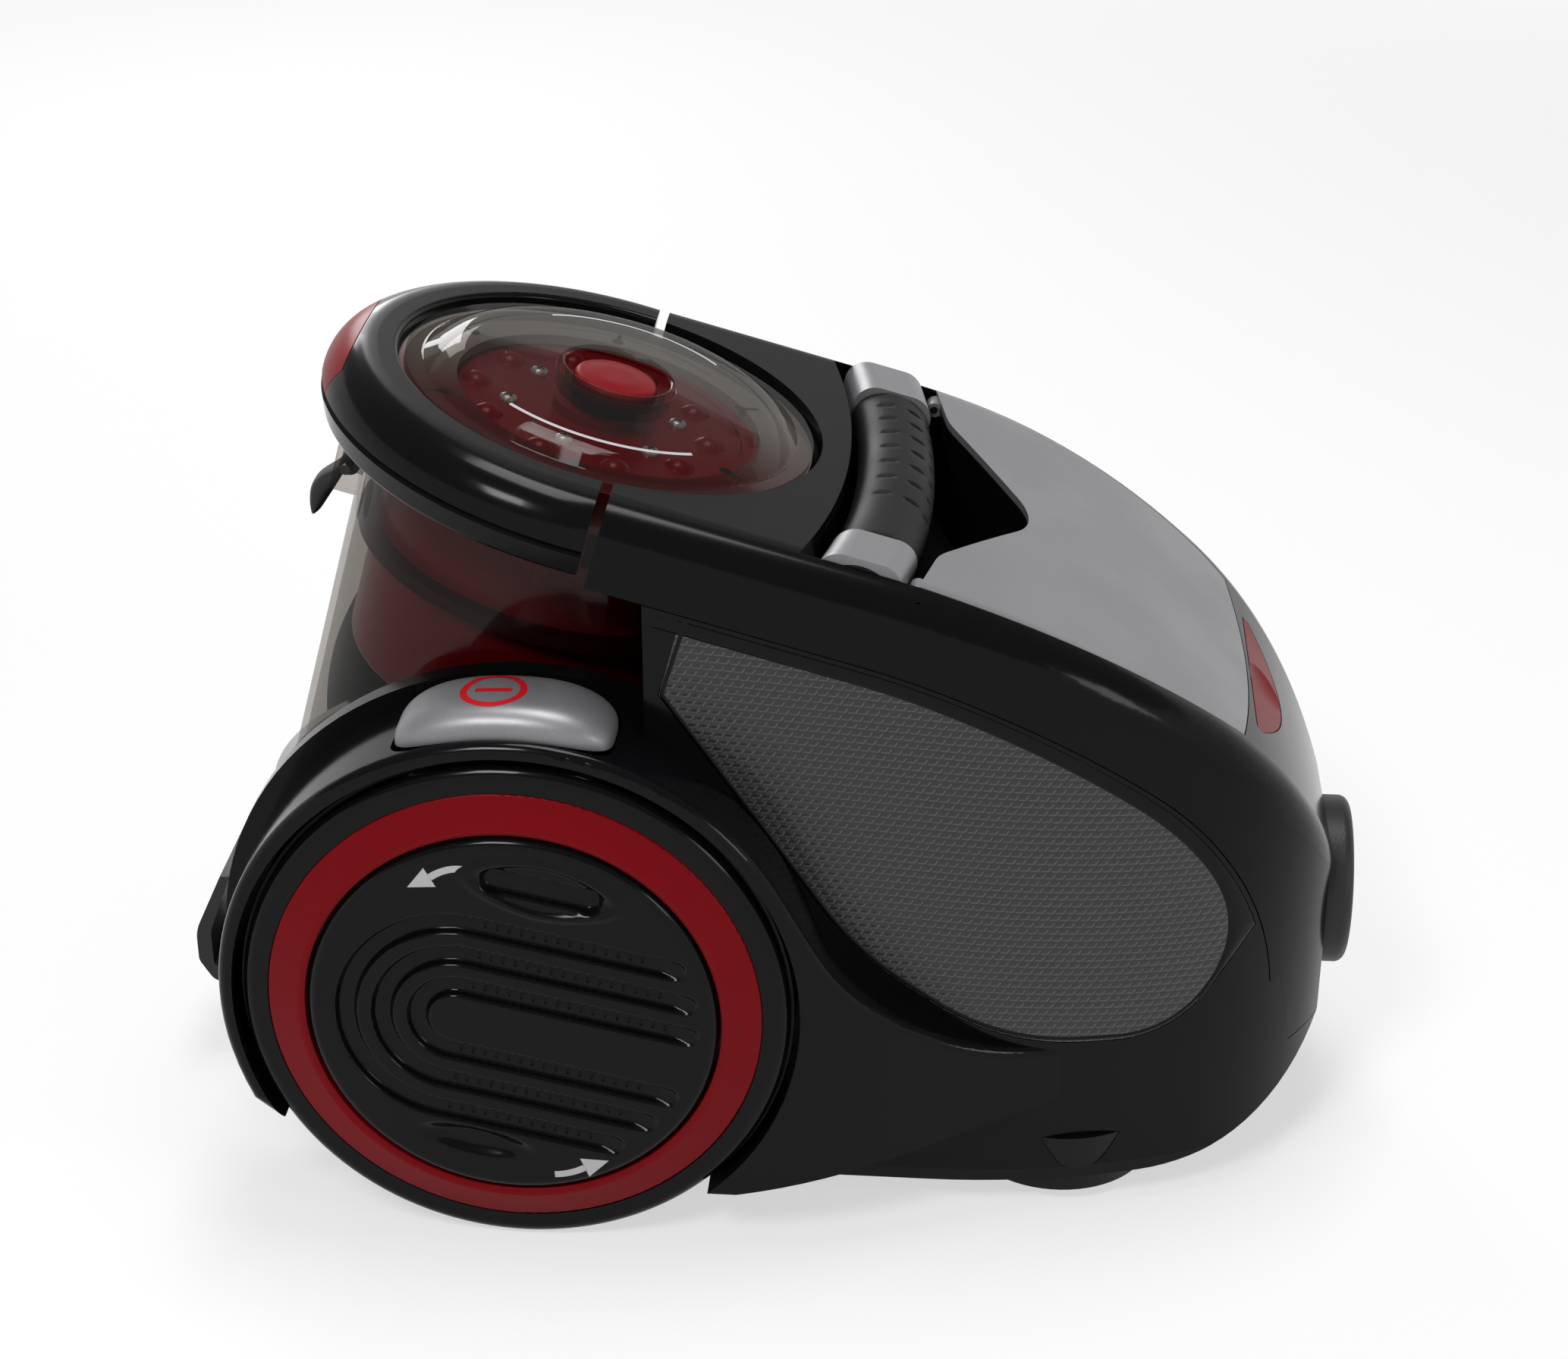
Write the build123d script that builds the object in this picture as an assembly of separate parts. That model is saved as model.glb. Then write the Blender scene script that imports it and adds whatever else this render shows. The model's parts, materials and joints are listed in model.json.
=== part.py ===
from build123d import *
from math import cos, radians, sin, sqrt, tan
import os

# Bagless multi-cyclone canister vacuum cleaner. Millimetres, +X to the hose end, +Z up, floor at Z = 0.

# Running and seating clearances
RUN_GAP = 0.4            # between a moving piece and what it moves past
PANEL_GAP = 0.4          # visible line between two fixed shells
SHAFT_GAP = 0.06         # radial, shaft in bearing
SEAT_GAP = 0.2           # between a fixed inner piece and its pocket

# Hull, the master form that the shells are cut from
HULL_REAR_X = -34.0
NOSE_CUT_X = 219.0
HULL_HALF_WIDTH = 106.0
HULL_FLOOR_Z = 14.0
HULL_EDGE = 17.0         # rounding between the crown and the sides
CROWN_BEND_X = 50.0
CROWN_TURNS = (38.0, 85.0)
CROWN_RADII = (330.0, 161.0)
PLAN_BEND_X = 70.0
PLAN_TURNS = (22.0, 85.0)
PLAN_RADII = (267.0, 88.7)
KEEL_BEND_X = 150.0
KEEL_TURNS = (30.0, 70.0)
KEEL_RADII = (79.5, 79.5)
FRAME_WALL = 3.0
BODY_WALL = 5.0
FRAME_BAND = 30.0        # crown to the seam of the upper frame
FRAME_REAR_X = -64.0     # the frame's side walls start behind the notch and are trimmed there
SEAM_DROP_X = 190.0
SEAM_FRONT_X = 206.0
SEAM_FRONT_Z = 54.0
BASE_THICK = 5.0
PANEL_THICK = 2.5
SEAM_LIP = 2.0           # gloss edge left between the seam and the side panel

# Lid plane, tilted down to the front
LID_X = -56.4
LID_Z = 289.3
LID_TILT = 15.5
RING_IN_R = 81.0
RING_OUT_R = HULL_HALF_WIDTH
RING_DEEP = 28.0
RING_SPLIT = 17.0        # split line on the ring's outer side, below the lid plane
RING_SKIN = 3.0
RING_FALL = 6.0
SPLIT_DEEP = 1.2
NOTCH_U = 9.0            # the slot between the two halves of the ring, forward of the lid centre
NOTCH_WIDE = 4.0

# Dust cup and cyclone head, in the lid frame
CUP_U = -5.0
CUP_R = 79.5
CUP_WALL = 2.5
CUP_TOP = -10.0
CUP_FLOOR = -212.0
CUP_FOOT = 7.0
CRADLE_GAP = 2.5
CRADLE_WALL = 3.5
CRADLE_RIM_Z = 128.0
DOME_R = 72.0
DOME_RISE = 8.0
DOME_WALL = 2.5
DOME_FLANGE_R = 78.5
DOME_BROW = 10.0         # from the dome's edge in to its shoulder
DOME_SHOULDER = 3.0
DOME_ROUND = 20.0
KNOB_R = 16.0
KNOB_TALL = 7.0
KNOB_WELL_R = 19.0
PACK_R = 70.0
PACK_DEEP = 118.0
PACK_WALL = 2.5
PACK_COLLAR = 6.0
PACK_DISC = 4.0
FUNNEL_R = 28.0
FUNNEL_DEEP = 22.0
WINDOW_COUNT = 10
WINDOW_WIDE = 20.0
WINDOW_TALL = 14.0
CONE_COUNT = 10
CONE_PITCH_R = 45.0
CONE_TOP_R = 11.0
CONE_TIP_R = 4.5
CONE_WALL = 1.5
COVER_PLATE_R = 57.0
BUMP_R = 7.0
SCREW_COUNT = 6
SCREW_PITCH_R = 33.0
SCREW_START = 18.0
SCREW_R = 3.2
FLANGE_TOP = 6.0         # below the lid plane, where the lid's rim sits
FLANGE_LOW = -10.0
FLANGE_LAP = 12.0
KNOB_WELL_DEEP = 9.0
GASKET_DROP = 72.0
GASKET_TALL = 5.0

# Latch lever on the cup's rear wall
LATCH_DROP = 57.0
LATCH_REACH = 9.0
LATCH_LONG = 26.0
LATCH_HALF_WIDE = 7.0
EAR_WIDE = 4.0
PIN_R = 2.0

# Rear wheels, hubs and exhaust covers; distances from the mid-plane along Y
AXLE_X = -80.0
WHEEL_R = 101.0
TREAD_THICK = 3.0
TREAD_WIDE = 26.0
WHEEL_IN_Y = 96.0
WHEEL_OUT_Y = 135.0
RIM_ROUND = 5.0
WELL_R = 103.5
WELL_Y = 88.0
WELL_WALL = 4.0
FENDER_R = 109.0
FENDER_ARCH_R = 116.0
FENDER_LOW_Z = 24.0
FENDER_HEEL = 24.0       # where the drum's arc ends at the rear, degrees below the axle
FENDER_HEEL_X = -140.0
FENDER_TAIL_X = 160.0
FENDER_TAIL_Z = 74.0
FENDER_TAIL_LOW = 60.0
FENDER_BELLY_X = 64.0
FENDER_BELLY_Z = 38.0
FENDER_EDGE = 4.0
FENDER_SWEEP = 28.0      # where the drum's arc runs out into the flank, degrees above the axle
FENDER_RUN = 52.0
ARCH_WIDE = 8.0
RING_SEAT = 4.0
HUB_R = 72.5
HUB_WALL = 4.0
HUB_FLOOR = 6.0
HUB_LIP = 2.5
HUB_LIP_TALL = 1.8
RED_RING_OUT_R = 90.0
RED_RING_IN_R = 75.6
RED_RING_PROUD = 5.0
COVER_R = 74.8
COVER_FACE_Y = 141.0
COVER_THICK = 4.5
COVER_ROUND = 4.0
SKIRT_WALL = 2.5
GROOVE_WIDE = 7.0
GROOVE_PITCH = 13.3
GROOVE_COUNT = 3
GROOVE_TURN = 12.0
GROOVE_DEEP = 3.0
GROOVE_BEND = -20.0
GROOVE_LOW = 4.5
GROOVE_RIM = 9.0
SLIT_WIDE = 2.5
RECESS_Y = 55.0
RECESS_LONG = 27.0
RECESS_WIDE = 9.0
LUG_COUNT = 3
LUG_TURN = 25.0
LUG_WIDE = 14.0
LUG_TALL = 3.0
LUG_DROP = 8.0
GRILLE_COUNT = 9
GRILLE_PITCH = 12.0
GRILLE_WIDE = 6.0
FILTER_TALL = 20.0
PLEAT_PITCH = 8.0

# Front casters
CASTER_X = 119.0
CASTER_Y = 62.0
CASTER_DISC_R = 32.0
CASTER_WHEEL_R = 13.5
CASTER_WHEEL_WIDE = 12.0
CASTER_TRAIL = 11.0
CASTER_STEM_R = 4.0
CASTER_AXLE_R = 2.0
CASTER_SIDE_GAP = 1.0
STEM_LONG = 14.0
POD_LOW_Z = 6.5
POD_TOP_Z = 33.0
POD_WALL = 4.0
POD_FLARE = 4.0

# Foot pedals on the fenders
PEDAL_X = -82.0
PEDAL_LONG = 78.0
PEDAL_Y = 112.0
PEDAL_WIDE = 37.0
PEDAL_TOP_Z = 220.0
PEDAL_TALL = 15.0
PEDAL_CORNER = 8.0
PEDAL_ROUND = 6.0

# Hose inlet
INLET_Z = 91.0
INLET_R = 22.0
INLET_FACE_X = 230.0
INLET_WALL = 3.0
SEAL_LONG = 6.0
SEAL_LAP = 1.0
INLET_COLLAR_R = 33.0
COLLAR_ROUND = 4.0
INLET_DEEP = 40.0
DUCT_R = 17.0
DUCT_WALL = 2.0
DUCT_Y = 45.0
DUCT_RISE = 16.0
DUCT_LEAD = 26.0
PORT_X = -15.0
PORT_Z = 150.0
PORT_REACH = 40.0

# Motor, upright in the front of the hull
MOTOR_X = 95.0
MOTOR_Y = -28.0
MOTOR_BASE_Z = 55.0
MOTOR_R = 42.0
MOTOR_TALL = 64.0
FAN_R = 52.0
FAN_TALL = 34.0
SHAFT_R = 4.0
CAN_WALL = 2.0
MOUNT_TALL = 6.0
EYE_R = 20.0
IMPELLER_R = 46.0
BLADE_COUNT = 9

# Carry handle and the well for the fingers
COVER_MARGIN = 13.0      # frame left beside the top cover
HANDLE_X = 37.0
HANDLE_BOW = 12.0
GRIP_HALF = 68.0
GRIP_LONG = 30.0
GRIP_TALL = 24.0
GRIP_SKIN = 2.5
HANDLE_SINK = 9.0        # crown to the handle's centre line
WELL_REAR_X = 20.0
WELL_HALF = HULL_HALF_WIDTH - COVER_MARGIN
WELL_CORNER_X = 61.0
WELL_APEX_X = 104.0
WELL_ROUND = 30.0
WELL_DEEP = 48.0
WELL_SKIN = 2.5

# Top cover, its latch and the filter under it
COVER_FRONT_X = 180.0
COVER_BOW = 5.0
COVER_BOW_R = 450.0
COVER_HINGE_X = 61.0
HINGE_DROP = 5.0
HINGE_Y = 86.5
HINGE_LONG = 8.0
HINGE_R = 1.5
BARREL_R = 3.0
DECK_RIM = 12.0
LATCH_HALF = 46.0
LATCH_FRONT_X = 199.0
LATCH_GAP = 1.4
LATCH_SLOPE = 52.0
SCOOP_R = 40.0
SCOOP_DEEP = 2.0
DECK_TOP = 26.0
DECK_THICK = 3.0
TRAY_REAR_X = 108.0
TRAY_FRONT_X = 166.0
TRAY_HALF = 52.0
TRAY_DEEP = 20.0
TRAY_WALL = 2.0

# Release button on the ring
BUTTON_HALF = 38.0
BUTTON_DEEP = 11.0
BUTTON_TRAVEL = 3.0
BUTTON_SKIN = 3.0

# Cord reel under the cup
REEL_X = -118.0
REEL_R = 68.0
REEL_FLANGE = 2.5
REEL_LOW_Z = 21.0
REEL_TOP_Z = 48.0
REEL_ROOM_R = 74.0
REEL_HUB_R = 24.0
SPINDLE_R = 8.0
REEL_HOUSE_TOP = 110.0
BRACKET_X = -230.0
BRACKET_HALF = 22.0
BRACKET_WALL = 6.0
BRACKET_LOW_Z = 34.0
BRACKET_TOP_Z = 84.0
BUSH_R = 7.0
BUSH_BORE_R = 4.0
BUSH_Z = 38.0
BUSH_TURN = 155.0

TILT = radians(LID_TILT)
LID = Plane(origin=(LID_X, 0, LID_Z), x_dir=(cos(TILT), 0, -sin(TILT)), z_dir=(sin(TILT), 0, cos(TILT)))
BIN = Plane(origin=LID.from_local_coords((CUP_U, 0, 0)), x_dir=LID.x_dir, z_dir=LID.z_dir)
AXLE = Plane(origin=(AXLE_X, 0, WHEEL_R), x_dir=(1, 0, 0), z_dir=(0, 1, 0))
WIDE = 2 * (COVER_FACE_Y + HULL_HALF_WIDTH)
FAR = 4 * RING_OUT_R


class Run:
    """A straight run and two arcs that turn down from it, in a plane of its own."""

    def __init__(self, x, level, slope, turns, radii):
        self.angles = (radians(slope), radians(turns[0]), radians(turns[1]))
        self.radii = radii
        self.x = x
        start, middle, _ = self.angles
        first = (x - radii[0] * sin(start), level - radii[0] * cos(start))
        step = radii[0] - radii[1]
        self.centres = (first, (first[0] + step * sin(middle), first[1] + step * cos(middle)))

    def spot(self, arc, angle, drop):
        """A point on one arc, drawn in by drop."""
        reach = self.radii[arc] - drop
        centre = self.centres[arc]
        return (centre[0] + reach * sin(angle), centre[1] + reach * cos(angle))

    def level(self, x):
        """Height of the run above its base line at x."""
        if x <= self.x:
            return self.spot(0, self.angles[0], 0)[1] + (self.x - x) * tan(self.angles[0])
        arc = 0 if x <= self.spot(0, self.angles[1], 0)[0] else 1
        centre = self.centres[arc]
        return centre[1] + sqrt(self.radii[arc] ** 2 - (x - centre[0]) ** 2)

    def corners(self, drop, rear):
        """Rear end, the two joints between line and arcs, and the front end."""
        start, middle, last = self.angles
        bend = self.spot(0, start, drop)
        end = (rear, bend[1] + (bend[0] - rear) * tan(start))
        return (end, bend, self.spot(0, middle, drop), self.spot(1, last, drop))

    def curve(self, drop, rear, place):
        start, middle, last = self.angles
        end, bend, joint, tip = [place(*corner) for corner in self.corners(drop, rear)]
        first = ThreePointArc(bend, place(*self.spot(0, (start + middle) / 2, drop)), joint)
        second = ThreePointArc(joint, place(*self.spot(1, (middle + last) / 2, drop)), tip)
        return Line(end, bend) + first + second


CROWN = Run(CROWN_BEND_X, LID_Z - (CROWN_BEND_X - LID_X) * tan(TILT), LID_TILT, CROWN_TURNS, CROWN_RADII)
PLAN = Run(PLAN_BEND_X, HULL_HALF_WIDTH, 0.0, PLAN_TURNS, PLAN_RADII)
KEEL = Run(KEEL_BEND_X, -HULL_FLOOR_Z, 0.0, KEEL_TURNS, KEEL_RADII)


def crown_z(x):
    return CROWN.level(x)


def seen_from_side(x, z):
    return (x, 0, z)


def seen_from_below(x, z):
    return (x, 0, -z)


def seen_from_above(x, y):
    return (x, y, 0)


def side_prism(outline, half=WIDE / 2):
    """A face in the XZ plane made a solid across the whole width."""
    return extrude(outline, amount=half, dir=(0, 1, 0), both=True)


def under_crown(drop, rear=-FAR):
    """Everything below the hull's top line, drawn in by drop."""
    line = CROWN.curve(drop, rear, seen_from_side)
    rest = Polyline(line @ 1, (FAR, 0, (line @ 1).Z), (FAR, 0, -FAR), (rear, 0, -FAR), line @ 0)
    return side_prism(make_face(line + rest))


def above_keel(drop, rear=-FAR):
    line = KEEL.curve(drop, rear, seen_from_below)
    rest = Polyline(line @ 1, (FAR, 0, (line @ 1).Z), (FAR, 0, 2 * FAR), (rear, 0, 2 * FAR), line @ 0)
    return side_prism(make_face(line + rest))


def plan_face(inset, rear):
    """The hull's outline from above."""
    near = PLAN.curve(inset, rear, lambda x, y: (x, -y, 0))
    far = PLAN.curve(inset, rear, seen_from_above)
    nose = Polyline(far @ 1, (FAR, (far @ 1).Y), (FAR, (near @ 1).Y), near @ 1)
    return make_face(near + far + nose + Line(far @ 0, near @ 0))


def hull(inset=0.0, back=HULL_REAR_X):
    """The master form, or the same form drawn in by a wall."""
    rear = back + inset
    front = NOSE_CUT_X - inset
    body = upright(plan_face(inset, rear)) & under_crown(inset) & above_keel(inset)
    body = body & Pos((rear + front) / 2, 0, LID_Z / 2) * Box(front - rear, WIDE, FAR)
    edges = [edge for edge in body.edges() if is_crown_edge(edge, rear, front)]
    return fillet(edges, HULL_EDGE - inset)


def is_crown_edge(edge, rear, front):
    """True for an edge that runs along the hull between its crown and a side."""
    middle = edge @ 0.5
    along = abs(middle.X - rear) > 1 and abs(middle.X - front) > 1
    upright_edge = abs((edge % 0.5).Z) > 0.99
    return along and not upright_edge and middle.Z > HULL_HALF_WIDTH and abs(middle.Y) > HULL_EDGE


def above_seam(drop=FRAME_BAND):
    """Everything above the seam of the upper frame, with the seam dropping round the nose."""
    front_z = SEAM_FRONT_Z + FRAME_BAND - drop
    bend = crown_z(SEAM_DROP_X) - drop
    nose = section(
        (SEAM_DROP_X, FAR), (SEAM_DROP_X, bend), (SEAM_FRONT_X, front_z), (FAR, front_z), (FAR, FAR)
    )
    sky = Pos(0, 0, FAR / 2) * Box(2 * FAR, WIDE, FAR)
    return sky - under_crown(drop) + side_prism(Plane.XZ * nose)


def crown_layer(top, low, x_from, x_to):
    """The slab between two lines that follow the crown."""
    span = Pos((x_from + x_to) / 2, 0, LID_Z) * Box(x_to - x_from, WIDE, 2 * FAR)
    return (under_crown(top) - under_crown(low)) & span


def upright(outline):
    """A face in the XY plane made a tall prism."""
    return extrude(outline, amount=2 * LID_Z)


def mirrored(solid):
    return mirror(solid, about=Plane.XZ)


def tube(outer, inner, tall):
    ring = Circle(outer) - Circle(inner)
    return extrude(ring, amount=tall)


def section(*corners):
    """A closed face; a corner's third number is the radius that rounds it."""
    points = [corner[:2] for corner in corners]
    radii = [corner[2] if len(corner) > 2 else 0.0 for corner in corners]
    return make_face(FilletPolyline(*points, radius=radii, close=True))


def turned(*corners):
    """A section turned about the Z axis of its frame."""
    return revolve(Plane.XZ * section(*corners), axis=Axis.Z)


# Ring round the lid and the head that hangs from it
def ring_section():
    """The whole ring in the lid frame: a flat top that rolls over its edge as the hull does, open below."""
    edge = RING_OUT_R
    split = -RING_SPLIT - SPLIT_DEEP
    low = -RING_DEEP
    inner = edge - 3 * RING_SKIN
    return turned(
        (RING_IN_R, -RING_FALL), (RING_IN_R, 0, 2), (edge, 0, HULL_EDGE),
        (edge, split + SPLIT_DEEP), (edge - SPLIT_DEEP, split), (edge, split - SPLIT_DEEP),
        (edge - RING_SKIN, low, 2), (inner, low), (inner, -RING_FALL - RING_SKIN),
        (RING_IN_R + RING_SKIN, -RING_FALL),
    )


def beside_notch(front):
    """All that lies in front of the notch, or behind it, in the lid frame."""
    side = 1 if front else -1
    return Pos(NOTCH_U + side * (NOTCH_WIDE + FAR) / 2, 0, 0) * Box(FAR, FAR, FAR)


def ring_half(front):
    """The ring on one side of the notch, in the lid frame."""
    return ring_section() & beside_notch(front)


def button_block(gap, extra):
    """The rear end of the ring that the release button takes up, in the lid frame."""
    low = -RING_SPLIT - extra
    top = RING_SPLIT
    long = 2 * BUTTON_DEEP
    front_u = BUTTON_DEEP - RING_OUT_R + gap
    wide = 2 * (BUTTON_HALF + gap)
    return Pos(front_u - long / 2, 0, (low + top) / 2) * Box(long, wide, top - low)


def head_ring():
    """The ring's rear half, with the round flange that carries the lid and the cyclones."""
    tall = -FLANGE_LOW - FLANGE_TOP
    flange = tube(DOME_FLANGE_R, PACK_R - FLANGE_LAP, tall)
    web = tube(RING_IN_R + FLANGE_LAP, DOME_FLANGE_R - FLANGE_LAP, tall)
    body = ring_half(False) + Pos(0, 0, FLANGE_LOW) * (flange + (web & beside_notch(False)))
    below = tube(2 * RING_OUT_R, RING_OUT_R - BUTTON_SKIN - RUN_GAP, 2 * RING_DEEP)
    track = Pos(0, 0, -RING_DEEP) * below & button_block(RUN_GAP, BUTTON_TRAVEL + RUN_GAP)
    return LID * (body - button_block(RUN_GAP, RUN_GAP) - track)


def release_button():
    """The button is the ring's own skin, hollow below, so that it can sink past the wall under it."""
    low = -RING_SPLIT + BUTTON_TRAVEL + RUN_GAP
    hollow = Pos(0, 0, low - RING_DEEP) * extrude(Circle(RING_OUT_R - BUTTON_SKIN), amount=RING_DEEP)
    return LID * ((ring_half(False) & button_block(0, 0)) - hollow)


def dome_lid():
    """Clear domed lid with a flange and a well for the knob."""
    rim = DOME_FLANGE_R - RUN_GAP
    seat = SEAT_GAP - FLANGE_TOP
    step = seat + DOME_WALL + 1
    top = DOME_RISE
    well = top - KNOB_WELL_DEEP
    wall = DOME_WALL
    shoulder = DOME_R - DOME_BROW
    high = top - DOME_SHOULDER
    return LID * turned(
        (0, well), (KNOB_WELL_R, well, 1), (KNOB_WELL_R + 1, top, 1.5), (shoulder, high, DOME_ROUND),
        (DOME_R, step, 2), (rim, step), (rim, seat), (DOME_R - wall, seat),
        (shoulder - wall / 2, high - wall, DOME_ROUND - wall), (KNOB_WELL_R + 1 + wall, top - wall, 1),
        (KNOB_WELL_R + wall, well - wall, 2), (0, well - wall),
    )


def lid_knob():
    """Low crowned knob in the lid's well."""
    floor = DOME_RISE - KNOB_WELL_DEEP
    top = floor + KNOB_TALL
    crown = (KNOB_R / 2, top, 30)
    return LID * turned((0, floor), (KNOB_R, floor), (KNOB_R, top - 1, 2.5), crown, (0, top))


def cyclone_cover():
    """Red plate under the lid, with a raised bump over each cone."""
    low = FLANGE_LOW - PACK_COLLAR
    plate = Pos(0, 0, low) * extrude(Circle(COVER_PLATE_R), amount=PACK_COLLAR - 1)
    boss = Pos(0, 0, low) * extrude(Circle(KNOB_R), amount=PACK_COLLAR + 3)
    body = plate + boss
    for spot in PolarLocations(CONE_PITCH_R, CONE_COUNT):
        body = body + spot * Pos(0, 0, low + 1) * Sphere(BUMP_R)
    return BIN * (body & Pos(0, 0, low + PACK_R) * Box(4 * PACK_R, 4 * PACK_R, 2 * PACK_R))


def cover_screws():
    """Screws that hold the red plate, as one group."""
    top = FLANGE_LOW - 1
    heads = []
    for spot in PolarLocations(SCREW_PITCH_R, SCREW_COUNT, start_angle=SCREW_START):
        heads.append(BIN * spot * Pos(0, 0, top) * extrude(Circle(SCREW_R), amount=1.6))
    return Compound(children=heads)


def cyclone_pack():
    """Red cyclone body: a top disc with a collar, a windowed skirt and a funnel below."""
    wall = PACK_WALL
    disc_top = FLANGE_LOW - PACK_COLLAR
    disc_low = disc_top - PACK_DISC
    seat = COVER_PLATE_R + SEAT_GAP
    low = -PACK_DEEP
    tip = low - FUNNEL_DEEP
    body = turned(
        (0, disc_top), (seat, disc_top), (seat, FLANGE_LOW), (PACK_R, FLANGE_LOW), (PACK_R, low, 3),
        (FUNNEL_R, tip), (FUNNEL_R - wall, tip), (PACK_R - 2 * wall, low), (PACK_R - wall, low + wall),
        (PACK_R - wall, disc_low), (0, disc_low),
    )
    window = Box(4 * wall, WINDOW_WIDE, WINDOW_TALL)
    for spot in PolarLocations(PACK_R, WINDOW_COUNT):
        body = body - spot * Pos(0, 0, disc_low - WINDOW_TALL) * window
    return BIN * body


def cyclone_cones():
    """The small cyclones, hung from the disc as one group of hollow cones."""
    top = FLANGE_LOW - PACK_COLLAR - PACK_DISC
    long = PACK_DEEP + top - 6
    outer = Cone(CONE_TIP_R, CONE_TOP_R, long)
    inner = Cone(CONE_TIP_R - CONE_WALL, CONE_TOP_R - CONE_WALL, long)
    cone = Pos(0, 0, top - long / 2) * (outer - inner)
    return Compound(children=[BIN * spot * cone for spot in PolarLocations(CONE_PITCH_R, CONE_COUNT)])


def cup_gasket():
    """Rubber ring between the cyclone body and the cup's wall."""
    outer = CUP_R - CUP_WALL - RUN_GAP
    body = Pos(0, 0, -GASKET_DROP) * tube(outer, PACK_R, GASKET_TALL)
    return BIN * body


# Dust cup
def cup_space(gap, low, top):
    """A plain cylinder on the cup's axis."""
    return BIN * Pos(0, 0, low) * extrude(Circle(CUP_R + gap), amount=top - low)


def dust_cup():
    """Clear cup with a rounded foot, an inlet port and two ears for the latch."""
    wall = CUP_WALL
    floor = CUP_FLOOR + wall + 1
    body = BIN * turned(
        (0, CUP_FLOOR), (CUP_R, CUP_FLOOR, CUP_FOOT), (CUP_R, CUP_TOP), (CUP_R - wall, CUP_TOP),
        (CUP_R - wall, floor, CUP_FOOT - wall), (0, floor),
    )
    deep = LATCH_REACH + wall
    ear = latch_spot() * Pos(wall / 2, 0, 0) * Box(deep, EAR_WIDE, 2 * LATCH_REACH)
    for side in (1, -1):
        body = body + Pos(0, side * (LATCH_HALF_WIDE + RUN_GAP + EAR_WIDE / 2), 0) * ear
    shaft = latch_spot() * Rot(90, 0, 0) * Cylinder(PIN_R, 6 * EAR_WIDE)
    return body - shaft - inlet_port(DUCT_R - DUCT_WALL)


def latch_spot():
    """The lever's pivot on the cup's rear wall."""
    return BIN * Pos(-CUP_R - LATCH_REACH / 2, 0, -LATCH_DROP)


def bin_latch():
    """Lever on the cup's rear wall: a barrel on the pin and a curved finger tab."""
    barrel_r = PIN_R + 2
    tip = -LATCH_LONG
    barrel = Rot(90, 0, 0) * Cylinder(barrel_r, 2 * LATCH_HALF_WIDE)
    tab = section((-1, 0), (-3, -8, 20), (-7, tip), (-10, tip), (-barrel_r - 2, -8, 20), (-barrel_r, 0))
    tab = extrude(Plane.XZ * tab, amount=LATCH_HALF_WIDE, both=True)
    bore = Rot(90, 0, 0) * Cylinder(PIN_R + SHAFT_GAP, 4 * LATCH_HALF_WIDE)
    return latch_spot() * (barrel + tab - bore)


def latch_pin():
    long = 2 * (LATCH_HALF_WIDE + RUN_GAP + EAR_WIDE)
    return latch_spot() * Rot(90, 0, 0) * Cylinder(PIN_R, long)


# Hose inlet and its duct
def duct_bend():
    """The corner where the duct turns to run straight at the cup."""
    return Vector(CASTER_X, DUCT_Y, INLET_Z + DUCT_RISE)


def duct_path():
    back = INLET_FACE_X - INLET_DEEP
    start = (back, 0, INLET_Z)
    turn = (back - DUCT_LEAD, 0, INLET_Z)
    return FilletPolyline(start, turn, duct_bend(), (PORT_X, DUCT_Y, PORT_Z), radius=DUCT_R * 1.5)


def inlet_port(radius):
    """The straight hole through the cradle and the cup where the duct ends."""
    end = Vector(PORT_X, DUCT_Y, PORT_Z)
    mouth = Plane(origin=end, z_dir=end - duct_bend())
    return mouth * extrude(Circle(radius), amount=PORT_REACH)


def inlet_duct():
    path = duct_path()
    start = Plane(origin=path @ 0, z_dir=path % 0)
    ring_face = start * (Circle(DUCT_R) - Circle(DUCT_R - DUCT_WALL))
    return sweep(ring_face, path=path) - cup_space(CRADLE_GAP + CRADLE_WALL + SEAT_GAP, CUP_FLOOR, 0)


def hose_inlet():
    """Collar on the nose with a stepped socket for the hose end and a seat for its seal."""
    face = INLET_FACE_X
    nose = NOSE_CUT_X
    back = face - INLET_DEEP
    floor = back + INLET_WALL
    step = floor + SEAL_LONG
    throat = DUCT_R - DUCT_WALL
    sleeve = INLET_R + INLET_WALL
    seal = INLET_R + SEAL_LAP
    body = revolve(
        section(
            (back, throat), (back, sleeve), (nose, sleeve), (nose, INLET_COLLAR_R),
            (face, INLET_COLLAR_R, COLLAR_ROUND), (face, INLET_R), (step, INLET_R), (step, seal),
            (floor, seal), (floor, throat),
        ),
        axis=Axis.X,
    )
    return Pos(0, 0, INLET_Z) * body


def inlet_seal():
    """Rubber ring at the bottom of the socket."""
    floor = INLET_FACE_X - INLET_DEEP + INLET_WALL
    ring = Circle(INLET_R + SEAL_LAP) - Circle(INLET_R - INLET_WALL)
    return Pos(floor, 0, INLET_Z) * Rot(0, 90, 0) * extrude(ring, amount=SEAL_LONG)


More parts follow.
